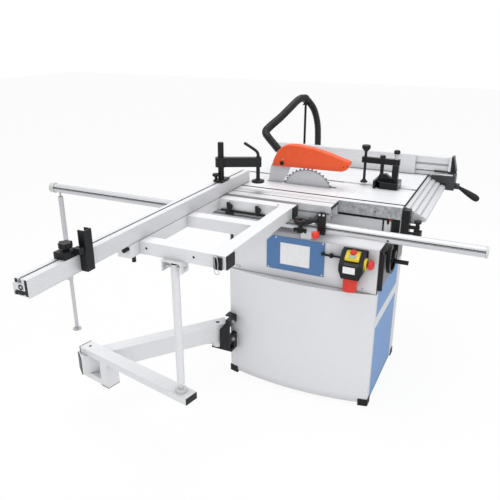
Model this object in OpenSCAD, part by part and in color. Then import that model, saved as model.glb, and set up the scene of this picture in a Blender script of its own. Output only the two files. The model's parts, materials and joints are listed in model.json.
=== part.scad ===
// Panel saw with a sliding carriage, an outrigger frame on a swing arm and a tilting blade.
// Millimetres. +Z is up, -Y is the operator's front, -X is the side of the sliding carriage.
// The origin is on the floor under the middle of the base cabinet.

/* [Cabinet] */
// Height of the table top above the floor
table_h = 850; // [820:5:880]
// Width of the cabinet across the blade
cab_w = 480; // [470:5:520]
// Length of the cabinet along the cut
cab_l = 648; // [640:2:670]
// How far the left panel bows out at its middle
cab_bow = 40; // [20:1:48]
// Sheet steel thickness of the cabinet walls
sheet = 3; // [2:0.5:4]
// Height of the upper housing over the lower cabinet
housing_h = 186; // [180:1:200]
// Height of the collar between the housing's ledge and the table
collar_h = 79; // [76:1:84]
// Thickness of the foot plates under the corners
foot_t = 14; // [10:1:20]
// Side of each square foot plate
foot_w = 38; // [36:1:50]
// Diameter of the floor bolt hole in each foot
anchor_d = 11; // [9:0.5:13]
// Distance of each floor bolt from the cabinet's two faces
anchor_in = 28; // [24:1:30]

/* [Table] */
// Width of the cast table
table_w = 638; // [620:2:680]
// Length of the cast table
table_l = 800; // [780:5:820]
// Depth of the table's skirt
table_t = 60; // [56:1:64]
// Thickness of the table plate
plate_t = 14; // [12:1:16]
// Width of the fixed strip beside the carriage
strip_w = 42; // [36:1:42]
// Width of the mitre slot
mitre_slot_w = 19; // [16:0.5:22]
// Depth of the mitre slot
mitre_slot_h = 9.5; // [8:0.5:10]
// How far the front rail stands out from the table
front_rail_w = 87; // [80:1:92]

/* [Blade] */
// Diameter of the saw blade
blade_d = 250; // [240:1:252]
// Thickness of the saw blade
blade_t = 2.2; // [1.8:0.1:3]
// Number of teeth
teeth = 40; // [24:4:60]
// Height of the blade over the table at rest
blade_rise = 78; // [70:1:80]
// Diameter of the arbor
arbor_d = 25; // [20:1:30]
// Width of the guard
guard_w = 40; // [34:1:50]
// Diameter of the motor
motor_d = 134; // [116:2:136]
// Diameter of the pulley on the arbor
arbor_pulley_d = 50; // [44:1:52]
// Diameter of the pulley on the motor
motor_pulley_d = 75; // [66:1:90]
// Diameter of the handwheel
wheel_d = 160; // [140:2:164]

/* [Carriage] */
// Width of the carriage
carriage_w = 102; // [96:1:103]
// Length of the carriage
carriage_l = 590; // [560:2:640]
// Height of the carriage
carriage_h = 56; // [54:1:57]
// Diameter of the guide rail
rail_d = 42; // [38:0.5:43]
// Length of the guide rail
rail_l = 1960; // [1900:5:2020]
// Width of the outrigger's tubes
tube_w = 52; // [46:1:54]
// Height of the outrigger's tubes
tube_h = 45; // [40:1:46]
// Wall of the outrigger's tubes
tube_wall = 2.5; // [2:0.5:4]
// Width of the inner swing arm
inner_arm_w = 60; // [50:1:62]
// Height of the inner swing arm
inner_arm_h = 80; // [70:1:84]
// Width of the outer swing arm
outer_arm_w = 57; // [50:1:62]
// Height of the outer swing arm
outer_arm_h = 27; // [24:1:32]
// Diameter of the strut under the outrigger
strut_d = 28; // [24:0.5:30]

/* [Fences] */
// Length of the crosscut fence
fence_l = 1326; // [1280:2:1380]
// Depth of the crosscut fence, along the cut
fence_w = 53; // [50:1:56]
// Height of the crosscut fence
fence_h = 50; // [46:1:56]
// Height of the rip fence's face over the table
rip_h = 92; // [84:1:98]
// Diameter of the hold-down column
column_d = 25; // [20:0.5:27]
// Diameter of the suction hose over its ribs
hose_d = 36; // [30:1:38]

/* [Hidden] */
$fn = 48;
eps = 0.5;
// Clearances: between moving parts, round a turning pin, and under what slides
gap = 0.3;
run = 0.05;

// The blade datum: where the blade's plane crosses the table top over the arbor.
// Everything below is placed from it, with z = 0 on the table top.
blade_x = 60;
blade_y = 87;
floor_z = -table_h;

// Cabinet
left_x = -blade_x - cab_w / 2;
right_x = -blade_x + cab_w / 2;
mid_y = -blade_y;
front_y = mid_y - cab_l / 2;
rear_y = mid_y + cab_l / 2;
under_z = -table_t;
ledge_z = under_z - collar_h;
cab_z = ledge_z - housing_h;
shell_z = floor_z + foot_t;
bow_r = (pow(cab_l / 2, 2) + pow(cab_bow, 2)) / (2 * cab_bow);
collar_x = -135;
flange_w = 8;
front_margin = [28, 70];
foot_lip = 2.5;
foot_rim = 32;
cover_t = 2.5;
cover_l = 252;
cover_h = 148;
cover_y = -65;
cover_cut = 26;
cover_z = ledge_z - 2;

// Table
strip_groove = 6;
table_x = -120;
table_front = -452;
skirt = 12;
strip_h = 50;
strip_x = table_x - strip_w;
insert_lo = [-34, -216];
insert_hi = [60, 226];
insert_t = 6;
insert_slot = [[-5, -130], [22, 194]];
insert_ledge = 8;
mitre_x = 123;
ways_r = 94.5;
ways_w = 17.5;
ways_reach = -table_x - skirt - 1;
cheek_r = 60;
cheek_t = 14;
// How far the tilting cheeks reach to each side, in degrees from straight down
cheek_left = 50;
cheek_right = 25;
cheek_front = -190;
cheek_rear = 196;
rail_edge = table_front - 1;
rail_slope = 40;
rail_face = 12;
rail_depth = 72;

// Blade unit
arbor_z = blade_rise - blade_d / 2;
tilt_max = 45;
tie_x = -44;
tie_t = 12;
tie_z = -270;
lift_down = 60;
rod_d = 16;
rod_x = -62;
rod_y = [-75, 95];
belt_x = -104;
belt_w = 16;
belt_t = 4;
pulley_w = 20;
motor_y = 90;
motor_z = -215;
motor_x = -257;
motor_l = 140;
motor_shaft_d = 24;
motor_plate_t = 10;
plate_x = motor_x + motor_l;
block_x = -80;
block_z = -118;
block_rear = rod_y[1] + 19;
flange_d = 56;
flange_t = 8;
nut_d = 36;
nut_t = 8;
knife_t = 2.4;
knife_foot = -112;
knife_gap = 4;
knife_y = [150, 192];
knife_outline = [
    [126, -60], [knife_y[0], knife_foot], [knife_y[1], knife_foot], [184, 30],
    [177, 74], [162, 75], [150, 100], [108, 110],
    [84, 72]
];
guard_wall = 2.5;
guard_low = 77;
guard_outline = [
    [167, guard_low], [156, 111], [137, 146], [107, 171], [60, 177], [0, 172], [-66, 160], [-176, 128],
    [-192, 120], [-184, 100], [-168, guard_low]
];
guard_hollow = [
    [163, guard_low - 1], [152.5, 109.5], [134.5, 143.5], [105.5, 167.5], [60, 173.5], [0, 168.5],
    [-66, 156.5], [-174, 125], [-187.5, 118], [-180.5, 101], [-164.5, guard_low - 1]
];
guard_bolt = [124, 88];
guard_boss_d = 18;
nozzle_tip = [0, 165, 162];
nozzle_dir = [0, 0.745, 0.667];
nozzle_l = 44;
nozzle_wall = 3;
wheel_x = -165;
wheel_z = -195;
wheel_y = front_y - 29;
wheel_t = 16;
shaft_d = 14;
shaft_end = -206;
slot_w = 22;
grip_orbit = 62;
grip_turn = 42;
grip_at = [wheel_x + grip_orbit * sin(grip_turn), wheel_z - grip_orbit * cos(grip_turn)];
grip_d = 18;
grip_l = 48;
slot_r = norm([wheel_x, wheel_z]);
slot_a = atan2(wheel_z, wheel_x);

// Carriage and rail
carriage_gap = 3;
carriage_x = strip_x - carriage_gap - carriage_w;
carriage_front = -196;
rail_x = -315;
rail_z = -73;
rail_front = -780;
rail_rear = rail_front + rail_l;
cap_l = 24;
saddle_front = -130;
plunger_d = 10;
lock_hole_y = -441;
lock_ball_d = 30;
lock_ball = [-388, -178, rail_z - 8];
plunger_tip = rail_x - rail_d / 2 - 0.4;
// The stop bracket's plate beside the rail, and the lever that grows from it
stop_plate = [[-350, -203, -92], [-340, -171, -1]];
stop_arm_z = [-44, -27];
lever_z = -48;
lever_t = 12;
lever_w = 31;
lever_knob = [-357, -112, -90];
lever_knob_h = 28;
leg_y = rail_rear - 22;
leg_d = 24;
leg_inner_d = 19;
leg_lock = -560;
tube_top = -3;
tube_bottom = tube_top - tube_h;
outer_tube = -896;
mid_tube = -595;
inner_tube = -342;
tube_front = -62;
tube_cap_t = 5;
cross_front = -58;
cross_rear = 262;
cross_end = outer_tube - 49;
clamp_bar = 8;
wing_y = [79, 207];
wing_z = -29;
wing_w = 9;
wing_h = 21;
plate_lo = [-378, 203];
plate_rear = 254;
bracket_t = 5;
bracket_top = -546;
lobe_z = [-667, -579];
plate_low = -690;
plate_top = -602;
lobe_w = 20;
lobe_h = 32;
ear_t = 12;
hinge = [-342, 282];
elbow = [-789, 631];
strut_at = [outer_tube + 6, 131];
arm_top = -559;
inner_top = arm_top - outer_arm_h - 1;
arm_tail = 45;
fork_t = 25;
fork_post = 108;
elbow_pin_d = 16;
hinge_pin_d = 18;
hinge_post_d = 58;
post_bottom = -700;
foot_d = 40;
strut_bolt = -75;
bracket_w = 77;
bracket_wall = 5;

// Fences
fence_x = -1376;
fence_y = 262;
fence_z = 2;
fence_top = fence_z + fence_h;
pivot = [-316, 288];
pivot_d = 12;
slot_open = 8;
slot_wide = 14;
stop_x = [-1233, -1180];
stop_h = 20;
flap_x = [-1178, -1147];
flap_pin = [248, 70];
flap_top = 126;
flap_pin_d = 10;
flap_wall = 4;
flap_depth = 24;
column_at = [-272, 288];
spindle_at = [-203, 149];
stud_at = [column_at[0] - 27, column_at[1] + 10];
hold_arm_z = 113;
hold_arm_h = 39;
hold_foot = [44, 58];
hold_foot_d = 55;
handle_z = hold_arm_z + hold_arm_h + 37;
handle_l = 62;
handle_d = 12;
hold_arm_w = 26;
spindle_d = 16;
rip_x = 412;
rip_plate_t = 10;
rip_profile_w = 40;
rip_plate_y = [-391, 323];
rip_profile_y = [-542, 320];
rip_floor = 3;
lever_pin = [-588, -48];
lever_pin_d = 10;
head_x = [418, 500];
mitre_at = [mitre_x, -340];
mitre_bar_y = [-430, -130];
mitre_pin_d = 12;
mitre_post_y = -357;
mitre_mid_y = -298;
mitre_screw_y = -222;
mitre_base_h = 30;
mitre_web = [[-286, 29], [-288, 56], [-318, 60], [-345, 42], [-368, 29]];
mitre_arm_z = 100;
mitre_arm_h = 26;

// Switch
switch_d = 72;
switch_y = [-364, -270];
switch_low = ledge_z - 108;
cheek_w = 18;
chamfer_w = 12;
chamfer_h = 32;
// The slope under the flap, from its top to its foot, as distances from the wall and below the ledge
seat = [[16, 12], [64, 46]];
seat_dir = unit([seat[0][0] - seat[1][0], seat[0][1] - seat[1][1]]);
flap_rod_d = 4;
flap_knuckle_d = 9;
flap_l = 54;
flap_axis = [left_x - seat[0][0], ledge_z - seat[0][1]] + 6 * seat_dir + 5.5 * [seat_dir[1], -seat_dir[0]];
inlet_at = [left_x - 36, -311];
inlet_d = 56;
stem_d = 18;
stop_ring_d = 44;
stop_ring_t = 8;
stop_z = ledge_z - 48;
switch_face = [[left_x - switch_d, switch_low], [left_x, switch_low], [left_x, ledge_z - 5]];
cable_z = ledge_z - 47;

// Front fittings
bracket_lo = [-157, -483, -116];
bracket_hi = [-121, table_front, -10];
lock_at = [-145, -104];
lock_shaft_d = 12;

// Suction hose: the route's points, and the ribs that follow from them
hose_route = [
    [0, 165.4, 162.4], [0, 198, 191], [20, 224, 217], [75, 234, 238], [150, 231, 253], [230, 229, 272],
    [310, 230, 293], [390, 231, 310], [470, 228, 317], [545, 214, 302], [590, 190, 250], [604, 172, 178],
    [606, 166, 101], [606, 165, 23], [606, 164, -56], [604, 162, -135], [588, 158, -212], [544, 151, -284],
    [478, 143, -338], [402, 134, -378], [324, 130, -397], [269, 130, -400], [234, 130, -400]
];
hose_end = hose_route[len(hose_route) - 1];
hose_ribs = 124;
holder_y = 215;
holder_w = 26;
holder_d = 12;
holder_drop = 50;
saddle_z = 277;
saddle_t = 4.5;
hose_groove = 3;
hose_wall = 2.2;
hose_sides = 8;
rings = 2 * hose_ribs;
bore_step = 4;
// A direction that the hose never follows, to hold its rings steady
hose_up = [0, 0.66, -0.75];

function unit(v) = v / norm(v);
function control(i) =
    i < 0 ? 2 * hose_route[0] - hose_route[1]
    : i >= len(hose_route) ? 2 * hose_end - hose_route[len(hose_route) - 2]
    : hose_route[i];
function spline(p, q, r, s, t) =
    q + 0.5 * t * (r - p + t * (2 * p - 5 * q + 4 * r - s + t * (3 * (q - r) + s - p)));
function hose_at(t) =
    let (u = min(max(t, 0), 1) * (len(hose_route) - 1), i = min(floor(u), len(hose_route) - 2))
    spline(control(i - 1), control(i), control(i + 1), control(i + 2), u - i);
function hose_axis(t) = unit(hose_at(t + 0.002) - hose_at(t - 0.002));
function hose_ring(t, r) =
    let (d = hose_axis(t), a = unit(cross(d, hose_up)), b = cross(d, a), c = hose_at(t))
    [for (k = [0 : hose_sides - 1]) let (turn = 360 * k / hose_sides)
        c + r * (cos(turn) * a + sin(turn) * b)];
function rib_r(i) = hose_d / 2 - (i % 4 < 2 ? 0 : hose_groove);

hose_steps = [for (i = [0 : rings]) i / rings];
bore_steps = [for (i = [0 : bore_step : rings]) i / rings];
bore_first = (rings + 1) * hose_sides;
bore_last = bore_first + (len(bore_steps) - 1) * hose_sides;
function hose_wall_faces(start, count, outward) =
    [for (i = [0 : count - 1]) for (k = [0 : hose_sides - 1])
        let (a = start + i * hose_sides + k, b = start + i * hose_sides + (k + 1) % hose_sides,
            c = a + hose_sides, d = b + hose_sides)
        each outward ? [[a, c, b], [b, c, d]] : [[a, b, c], [b, d, c]]];
function hose_end_faces(outer, bore, far) =
    [for (k = [0 : hose_sides - 1]) let (l = (k + 1) % hose_sides)
        each far ? [[outer + k, bore + k, outer + l], [outer + l, bore + k, bore + l]]
            : [[outer + k, outer + l, bore + k], [outer + l, bore + l, bore + k]]];
hose_middle = [for (t = bore_steps) hose_at(t)];
hose_gap = min([for (i = [0 : len(hose_middle) - 1]) for (j = [i + 14 : len(hose_middle) - 1])
    norm(hose_middle[i] - hose_middle[j]) - hose_d]);
echo(hose_self_gap = hose_gap);

// Placement helpers
module datum() translate([blade_x, blade_y, table_h]) children();
module box(lo, hi) translate(lo) cube(hi - lo);
module rod_along_x(x0, x1, y, z, d) translate([x0, y, z]) rotate([0, 90, 0]) cylinder(d = d, h = x1 - x0);
module rod_along_y(y0, y1, x, z, d) translate([x, y0, z]) rotate([-90, 0, 0]) cylinder(d = d, h = y1 - y0);
module rod_up(x, y, z0, z1, d) translate([x, y, z0]) cylinder(d = d, h = z1 - z0);
// A plan outline in Y and Z, thickened along X from x0 to x1
module plate_yz(x0, x1, points)
    translate([x0, 0, 0]) rotate([90, 0, 90]) linear_extrude(x1 - x0) polygon(points);
// An outline in X and Z, thickened along Y from y0 to y1
module plate_xz(y0, y1, points)
    translate([0, y1, 0]) rotate([90, 0, 0]) linear_extrude(y1 - y0) polygon(points);
// A box tube, open at both ends, along the axis where its limits are given
module tube_y(x, y0, y1) difference() {
    box([x, y0, tube_bottom], [x + tube_w, y1, tube_top]);
    box([x + tube_wall, y0 - 1, tube_bottom + tube_wall],
        [x + tube_w - tube_wall, y1 + 1, tube_top - tube_wall]);
}
module tube_x(y, x0, x1) difference() {
    box([x0, y, tube_bottom], [x1, y + tube_w, tube_top]);
    box([x0 - 1, y + tube_wall, tube_bottom + tube_wall],
        [x1 + 1, y + tube_w - tube_wall, tube_top - tube_wall]);
}
// A knob with lobes round its rim, standing up from z = 0
module star_knob(d, h, lobes = 6) difference() {
    cylinder(d = d, h = h);
    for (i = [0 : lobes - 1]) rotate(360 * i / lobes)
        translate([d * 0.58, 0, -1]) cylinder(d = d * 0.36, h = h + 2);
}
// The outline of a tilting cheek or its way, thickened along Y from y0
module cheek_at(y0) translate([0, y0 + cheek_t, 0]) rotate([90, 0, 0]) linear_extrude(cheek_t) children();
// The lower cabinet's plan, drawn in by inset, with its bowed left side
module cabinet_plan(inset) {
    translate([left_x + inset, front_y + inset]) square([cab_w - 2 * inset, cab_l - 2 * inset]);
    intersection() {
        translate([left_x - cab_bow + bow_r, mid_y]) circle(r = bow_r - inset, $fn = 240);
        translate([left_x - cab_bow - 10, front_y + inset]) square([cab_bow + 20, cab_l - 2 * inset]);
    }
}

// Lower cabinet: bowed left wall, rear and right walls and a top with a wide opening
module cabinet_shell() color("gainsboro") datum() difference() {
    translate([0, 0, shell_z]) linear_extrude(cab_z - shell_z) cabinet_plan(0);
    translate([0, 0, shell_z - 1]) linear_extrude(cab_z - shell_z - sheet + 1) cabinet_plan(sheet);
    box([left_x + front_margin[0], front_y - 1, shell_z - 1],
        [right_x - front_margin[1], front_y + sheet, cab_z + 1]);
    box([left_x + flange_w, front_y + flange_w, cab_z - 2 * sheet],
        [right_x - flange_w, rear_y - flange_w, cab_z + 1]);
    rod_along_x(right_x - 2 * sheet, right_x + 1, hose_end[1], hose_end[2], hose_d - 6);
}

// Blue panel that closes the lower cabinet's front
module cabinet_front() color("cornflowerblue") datum()
    box([left_x + front_margin[0], front_y, shell_z], [right_x - front_margin[1], front_y + sheet, cab_z]);

// Corner feet: a plate with a bolt hole, and a lip up the cabinet's outside
module base_feet() color("black") datum()
    for (sx = [-1, 1], sy = [-1, 1]) difference() {
        intersection() {
            translate([0, 0, floor_z]) difference() {
                linear_extrude(foot_rim) cabinet_plan(-foot_lip);
                translate([0, 0, foot_t]) linear_extrude(foot_rim) cabinet_plan(0);
            }
            translate([-blade_x + sx * cab_w / 2, mid_y + sy * cab_l / 2, floor_z + foot_rim / 2])
                cube([2 * foot_w, 2 * foot_w, foot_rim + 1], center = true);
        }
        rod_up(-blade_x + sx * (cab_w / 2 - anchor_in), mid_y + sy * (cab_l / 2 - anchor_in),
            floor_z - 1, floor_z + foot_rim, anchor_d);
    }

// Upper housing with a ledge on the carriage side and a collar that carries the table
module housing_shell() color("gainsboro") datum() difference() {
    union() {
        box([left_x, front_y + sheet, cab_z], [right_x, rear_y, ledge_z]);
        box([collar_x, front_y + sheet, ledge_z - eps], [right_x, rear_y, under_z]);
    }
    box([left_x + sheet, front_y, cab_z - 1], [right_x - sheet, rear_y - sheet, ledge_z - sheet]);
    box([collar_x + sheet, front_y, ledge_z - 2 * sheet], [right_x - sheet, rear_y - sheet, under_z + 1]);
}

// Front plate of the housing, with the curved slot that the handwheel's shaft follows
module housing_front() color("darkgray") datum() difference() {
    union() {
        box([left_x, front_y, cab_z], [right_x, front_y + sheet, ledge_z]);
        box([collar_x, front_y, ledge_z - eps], [right_x, front_y + sheet, under_z]);
    }
    translate([0, front_y + 3 * sheet, 0]) rotate([90, 0, 0]) rotate(slot_a)
        rotate_extrude(angle = tilt_max, $fn = 96)
            translate([slot_r - slot_w / 2, 0]) square([slot_w, 5 * sheet]);
    for (a = [slot_a, slot_a + tilt_max])
        rod_along_y(front_y - 1, front_y + sheet + 1, slot_r * cos(a), slot_r * sin(a), slot_w);
}

// Blue cover on the housing's left face, with one cut corner
module cover_plate() color("steelblue") datum()
    plate_yz(left_x - cover_t, left_x, [
        [cover_y - cover_l / 2, cover_z], [cover_y + cover_l / 2 - cover_cut, cover_z],
        [cover_y + cover_l / 2, cover_z - cover_cut], [cover_y + cover_l / 2, cover_z - cover_h],
        [cover_y - cover_l / 2, cover_z - cover_h]
    ]);

// Cast table: a plate on a skirt, with the blade's window and the mitre slot
module main_table() color("silver") datum() difference() {
    box([table_x, table_front, under_z], [table_x + table_w, table_front + table_l, 0]);
    box([table_x + skirt, table_front + skirt, under_z - 1],
        [table_x + table_w - skirt, table_front + table_l - skirt, -plate_t]);
    translate([insert_lo[0] - gap, insert_lo[1] - gap, -insert_t])
        cube([insert_hi[0] - insert_lo[0] + 2 * gap, insert_hi[1] - insert_lo[1] + 2 * gap, insert_t + 1]);
    box([insert_lo[0] + insert_ledge, insert_lo[1] + insert_ledge, -plate_t - 1],
        [insert_hi[0] - insert_ledge, insert_hi[1] - insert_ledge, 1]);
    box([mitre_x - mitre_slot_w / 2, table_front - 1, -mitre_slot_h],
        [mitre_x + mitre_slot_w / 2, table_front + table_l + 1, 1]);
}

// Fixed aluminium strip along the table's carriage side
module side_strip() color("whitesmoke") datum() difference() {
    box([strip_x, table_front, -strip_h], [table_x, table_front + table_l, 0]);
    box([strip_x + 8, table_front - 1, -strip_h - 1], [table_x - 8, table_front + table_l + 1, -12]);
    box([table_x - strip_groove, table_front - 1, -4], [table_x + 1, table_front + table_l + 1, 1]);
    for (y = [table_front + 107, table_front + table_l / 2, table_front + table_l - 107])
        rod_along_x(strip_x - 1, strip_x + 9, y, -strip_h / 2 - 5, 9);
}

// Insert round the blade, slotted wide enough for the tilt
module table_insert() color("dimgray") datum() difference() {
    box([insert_lo[0], insert_lo[1], -insert_t], [insert_hi[0], insert_hi[1], 0]);
    translate([insert_slot[0][0], insert_slot[0][1], -insert_t - 1])
        cube([insert_slot[1][0] - insert_slot[0][0], insert_slot[1][1] - insert_slot[0][1], insert_t + 2]);
}

// Curved ways under the table, in which the blade unit tilts
module trunnion_ways() color("dimgray") datum() for (y = [cheek_front, cheek_rear])
    cheek_at(y) difference() {
        intersection() {
            circle(r = ways_r + ways_w, $fn = 96);
            translate([-ways_reach, -2 * ways_r]) square([2 * ways_reach, 2 * ways_r - plate_t]);
        }
        circle(r = ways_r, $fn = 96);
    }

// Extruded front rail, sloping outwards, on the table's front face
module front_rail() color("silver") datum() difference() {
    plate_yz(table_x + 1, table_x + table_w + 2, [
        [table_front, -4], [rail_edge, -4], [rail_edge - front_rail_w, -4 - rail_slope],
        [rail_edge - front_rail_w, -4 - rail_slope - rail_face],
        [rail_edge - front_rail_w + 40, -rail_depth], [table_front, -rail_depth]
    ]);
    for (i = [1 : 3]) translate([0, rail_edge - front_rail_w * i / 4, -4 - rail_slope * i / 4])
        rotate([atan2(rail_slope, front_rail_w), 0, 0])
            box([table_x, -4, -4], [table_x + table_w + 3, 4, 4]);
}

// Black corner bracket at the rail's left end, with the bearing of the tilt lock
module corner_bracket() color("black") datum() difference() {
    union() {
        box(bracket_lo, bracket_hi);
        box([bracket_lo[0] + 4, bracket_lo[1] - 40, -84], [bracket_lo[0] + 22, bracket_lo[1] + 1, -74]);
        rod_up(bracket_lo[0] + 13, bracket_lo[1] - 31, -75, -60, 16);
        rod_up(bracket_lo[0] + 13, bracket_lo[1] - 31, -60, -50, 28);
    }
    rod_along_y(bracket_lo[1] - 1, bracket_lo[1] + 20, lock_at[0], lock_at[1], lock_shaft_d + 2 * run);
}

// Round guide rail with a groove on its outer side and a hole for the carriage lock
module guide_rail() color("silver") datum() difference() {
    rod_along_y(rail_front, rail_rear, rail_x, rail_z, rail_d);
    box([rail_x - rail_d, rail_front - 1, rail_z + 1],
        [rail_x - rail_d / 2 + 6, rail_rear + 1, rail_z + 9]);
    rod_along_x(rail_x - rail_d, rail_x - 8, lock_hole_y, lock_ball[2], plunger_d + 1);
}

// End caps of the guide rail
module rail_caps() color("white") datum() {
    rod_along_y(rail_rear, rail_rear + cap_l, rail_x, rail_z, rail_d + 6);
    rod_along_y(rail_front - cap_l / 3, rail_front, rail_x, rail_z, rail_d + 2);
}

// Saddles on the ledge that carry the guide rail
module rail_brackets() color("dimgray") datum() for (y = [saddle_front, rear_y - 60]) difference() {
    box([left_x + 2, y, ledge_z], [left_x + 62, y + 44, rail_z - 4]);
    rod_along_y(y - 1, y + 46, rail_x, rail_z, rail_d);
}

// Telescopic leg under the rail's far end, with its lock screw and foot
module rail_leg() color("whitesmoke") datum() {
    difference() {
        rod_up(rail_x, leg_y, leg_lock, rail_z - rail_d / 2 - 20, leg_d);
        rod_up(rail_x, leg_y, leg_lock - 1, leg_lock + 60, leg_inner_d);
    }
    rod_up(rail_x, leg_y, rail_z - rail_d / 2 - 20, rail_z - rail_d / 2, 10);
    rod_along_x(rail_x - leg_d / 2 - 14, rail_x - leg_d / 2 + 2, leg_y, leg_lock + 12, 10);
    rod_up(rail_x, leg_y, floor_z + 18, leg_lock + 60, leg_inner_d);
    rod_up(rail_x, leg_y, floor_z + 6, floor_z + 18, 10);
    rod_up(rail_x, leg_y, floor_z, floor_z + 6, 44);
}

// Switch: back plate, the box with its sloping seat between two cheeks, the flap's pin and the stop's ring
module switch_box() color("black") datum() difference() {
    union() {
        box([left_x - 4, switch_y[0] - 3, ledge_z - 66], [left_x, switch_y[1] + 2, ledge_z - 5]);
        intersection() {
            union() {
                plate_xz(switch_y[0], switch_y[1], concat(switch_face,
                    [for (p = seat) [left_x - p[0], ledge_z - p[1]]], [[left_x - switch_d, ledge_z - 51]]));
                for (y = [switch_y[0], switch_y[1] - cheek_w]) plate_xz(y, y + cheek_w, concat(switch_face,
                    [[left_x - 31, ledge_z - 5], [left_x - switch_d, ledge_z - 51]]));
            }
            plate_yz(left_x - switch_d - 1, left_x + 1, [
                [switch_y[1], 0], [switch_y[1], switch_low + chamfer_h],
                [switch_y[1] - chamfer_w, switch_low], [switch_y[0] + chamfer_w, switch_low],
                [switch_y[0], switch_low + chamfer_h], [switch_y[0], 0]
            ]);
        }
        rod_along_y(switch_y[0] + cheek_w - 4, switch_y[1] - cheek_w + 4,
            flap_axis[0], flap_axis[1], flap_rod_d);
        rod_along_y(switch_y[0] - stop_ring_t, switch_y[0] + 1, left_x - switch_d / 2, stop_z, stop_ring_d);
    }
    rod_along_y(switch_y[0] - stop_ring_t - 1, switch_y[0] + 10,
        left_x - switch_d / 2, stop_z, stem_d + 2 * run);
}

// Yellow flap over the switch's buttons, hung on the pin
module switch_flap() color("gold") datum() difference() {
    flap_y = [switch_y[0] + cheek_w + gap, switch_y[1] - cheek_w - gap];
    union() {
        rod_along_y(flap_y[0], flap_y[1], flap_axis[0], flap_axis[1], flap_knuckle_d);
        plate_xz(flap_y[0], flap_y[1], [for (p = [[0, -4], [flap_l, -4], [flap_l, 3], [0, 4]])
            flap_axis + p[0] * seat_dir + p[1] * [seat_dir[1], -seat_dir[0]]]);
    }
    rod_along_y(flap_y[0] - 1, flap_y[1] + 1, flap_axis[0], flap_axis[1], flap_rod_d + 2 * run);
}

// Red plug inlet under the switch
module power_inlet() color("red") datum() difference() {
    union() {
        rod_up(inlet_at[0], inlet_at[1], switch_low - 6, switch_low, inlet_d + 6);
        rod_up(inlet_at[0], inlet_at[1], switch_low - 59, switch_low - 6, inlet_d);
    }
    rod_up(inlet_at[0], inlet_at[1], switch_low - 60, switch_low - 14, inlet_d - 10);
}

// Short cable from the cover to the switch, with its strain relief
module switch_cable() color("dimgray") datum() {
    rod_along_y(switch_y[1] + gap, -190, left_x - 12, cable_z, 9);
    translate([left_x - 12, -222, cable_z]) sphere(d = 20);
    rod_along_x(left_x - 12, left_x - cover_t, -185, cable_z, 13);
}

// Black hinge bracket on the cabinet's rear left edge: a plate, two bolted lobes with a flange,
// and an ear under the swing arm's post that holds its pin
module arm_hinge_bracket() color("black") datum() {
    ear_top = post_bottom - gap;
    difference() {
        union() {
            plate_yz(plate_lo[0], plate_lo[0] + bracket_t, [
                [plate_lo[1], plate_low], [plate_rear, plate_low], [plate_rear, plate_top],
                [plate_lo[1] + lobe_w / 2, bracket_top], [plate_lo[1], bracket_top]
            ]);
            box([left_x - 34, plate_lo[1], bracket_top - 6], [left_x + 4, plate_rear - 8, bracket_top]);
            for (z = lobe_z)
                box([plate_lo[0], plate_lo[1], z], [left_x + 10, plate_lo[1] + lobe_w, z + lobe_h]);
            box([hinge[0] + 6, plate_lo[1], ear_top - ear_t],
                [left_x + 4, plate_lo[1] + lobe_w, lobe_z[0] + 1]);
            box([hinge[0] - 20, plate_lo[1], ear_top - ear_t], [left_x + 4, hinge[1] + 22, ear_top]);
        }
        translate([0, 0, floor_z]) linear_extrude(table_h) cabinet_plan(0);
    }
    rod_up(hinge[0], hinge[1], ear_top - 1, inner_top, hinge_pin_d);
}

// Rod on the table's far edge that holds the suction hose up
module hose_rod() color("black") datum() {
    table_edge = table_x + table_w;
    box([table_edge, holder_y - 15, -holder_drop], [table_edge + holder_w, holder_y + 15, -18]);
    rod_up(table_edge + holder_w / 2, holder_y, -18, saddle_z, holder_d);
    box([table_edge + 4, holder_y - 10, saddle_z],
        [table_edge + holder_w - 4, holder_y + 14, saddle_z + saddle_t]);
}

// Ribbed suction hose from the guard to the cabinet: one tube with its bore
module suction_hose() color("black") datum()
    polyhedron(points = concat(
        [for (i = [0 : rings]) each hose_ring(hose_steps[i], rib_r(i))],
        [for (t = bore_steps) each hose_ring(t, hose_d / 2 - hose_groove - hose_wall)]
    ), faces = concat(
        hose_wall_faces(0, rings, true), hose_wall_faces(bore_first, len(bore_steps) - 1, false),
        hose_end_faces(0, bore_first, false), hose_end_faces(rings * hose_sides, bore_last, true)));

// Dust port on the cabinet's right wall: the hose's spigot on a flange
module dust_port() color("dimgray") datum() difference() {
    union() {
        rod_along_x(right_x, right_x + 6, hose_end[1], hose_end[2], 90);
        rod_along_x(right_x, hose_end[0], hose_end[1], hose_end[2], hose_d + 8);
    }
    rod_along_x(right_x - 1, hose_end[0] + 1, hose_end[1], hose_end[2], hose_d - 8);
}

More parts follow.
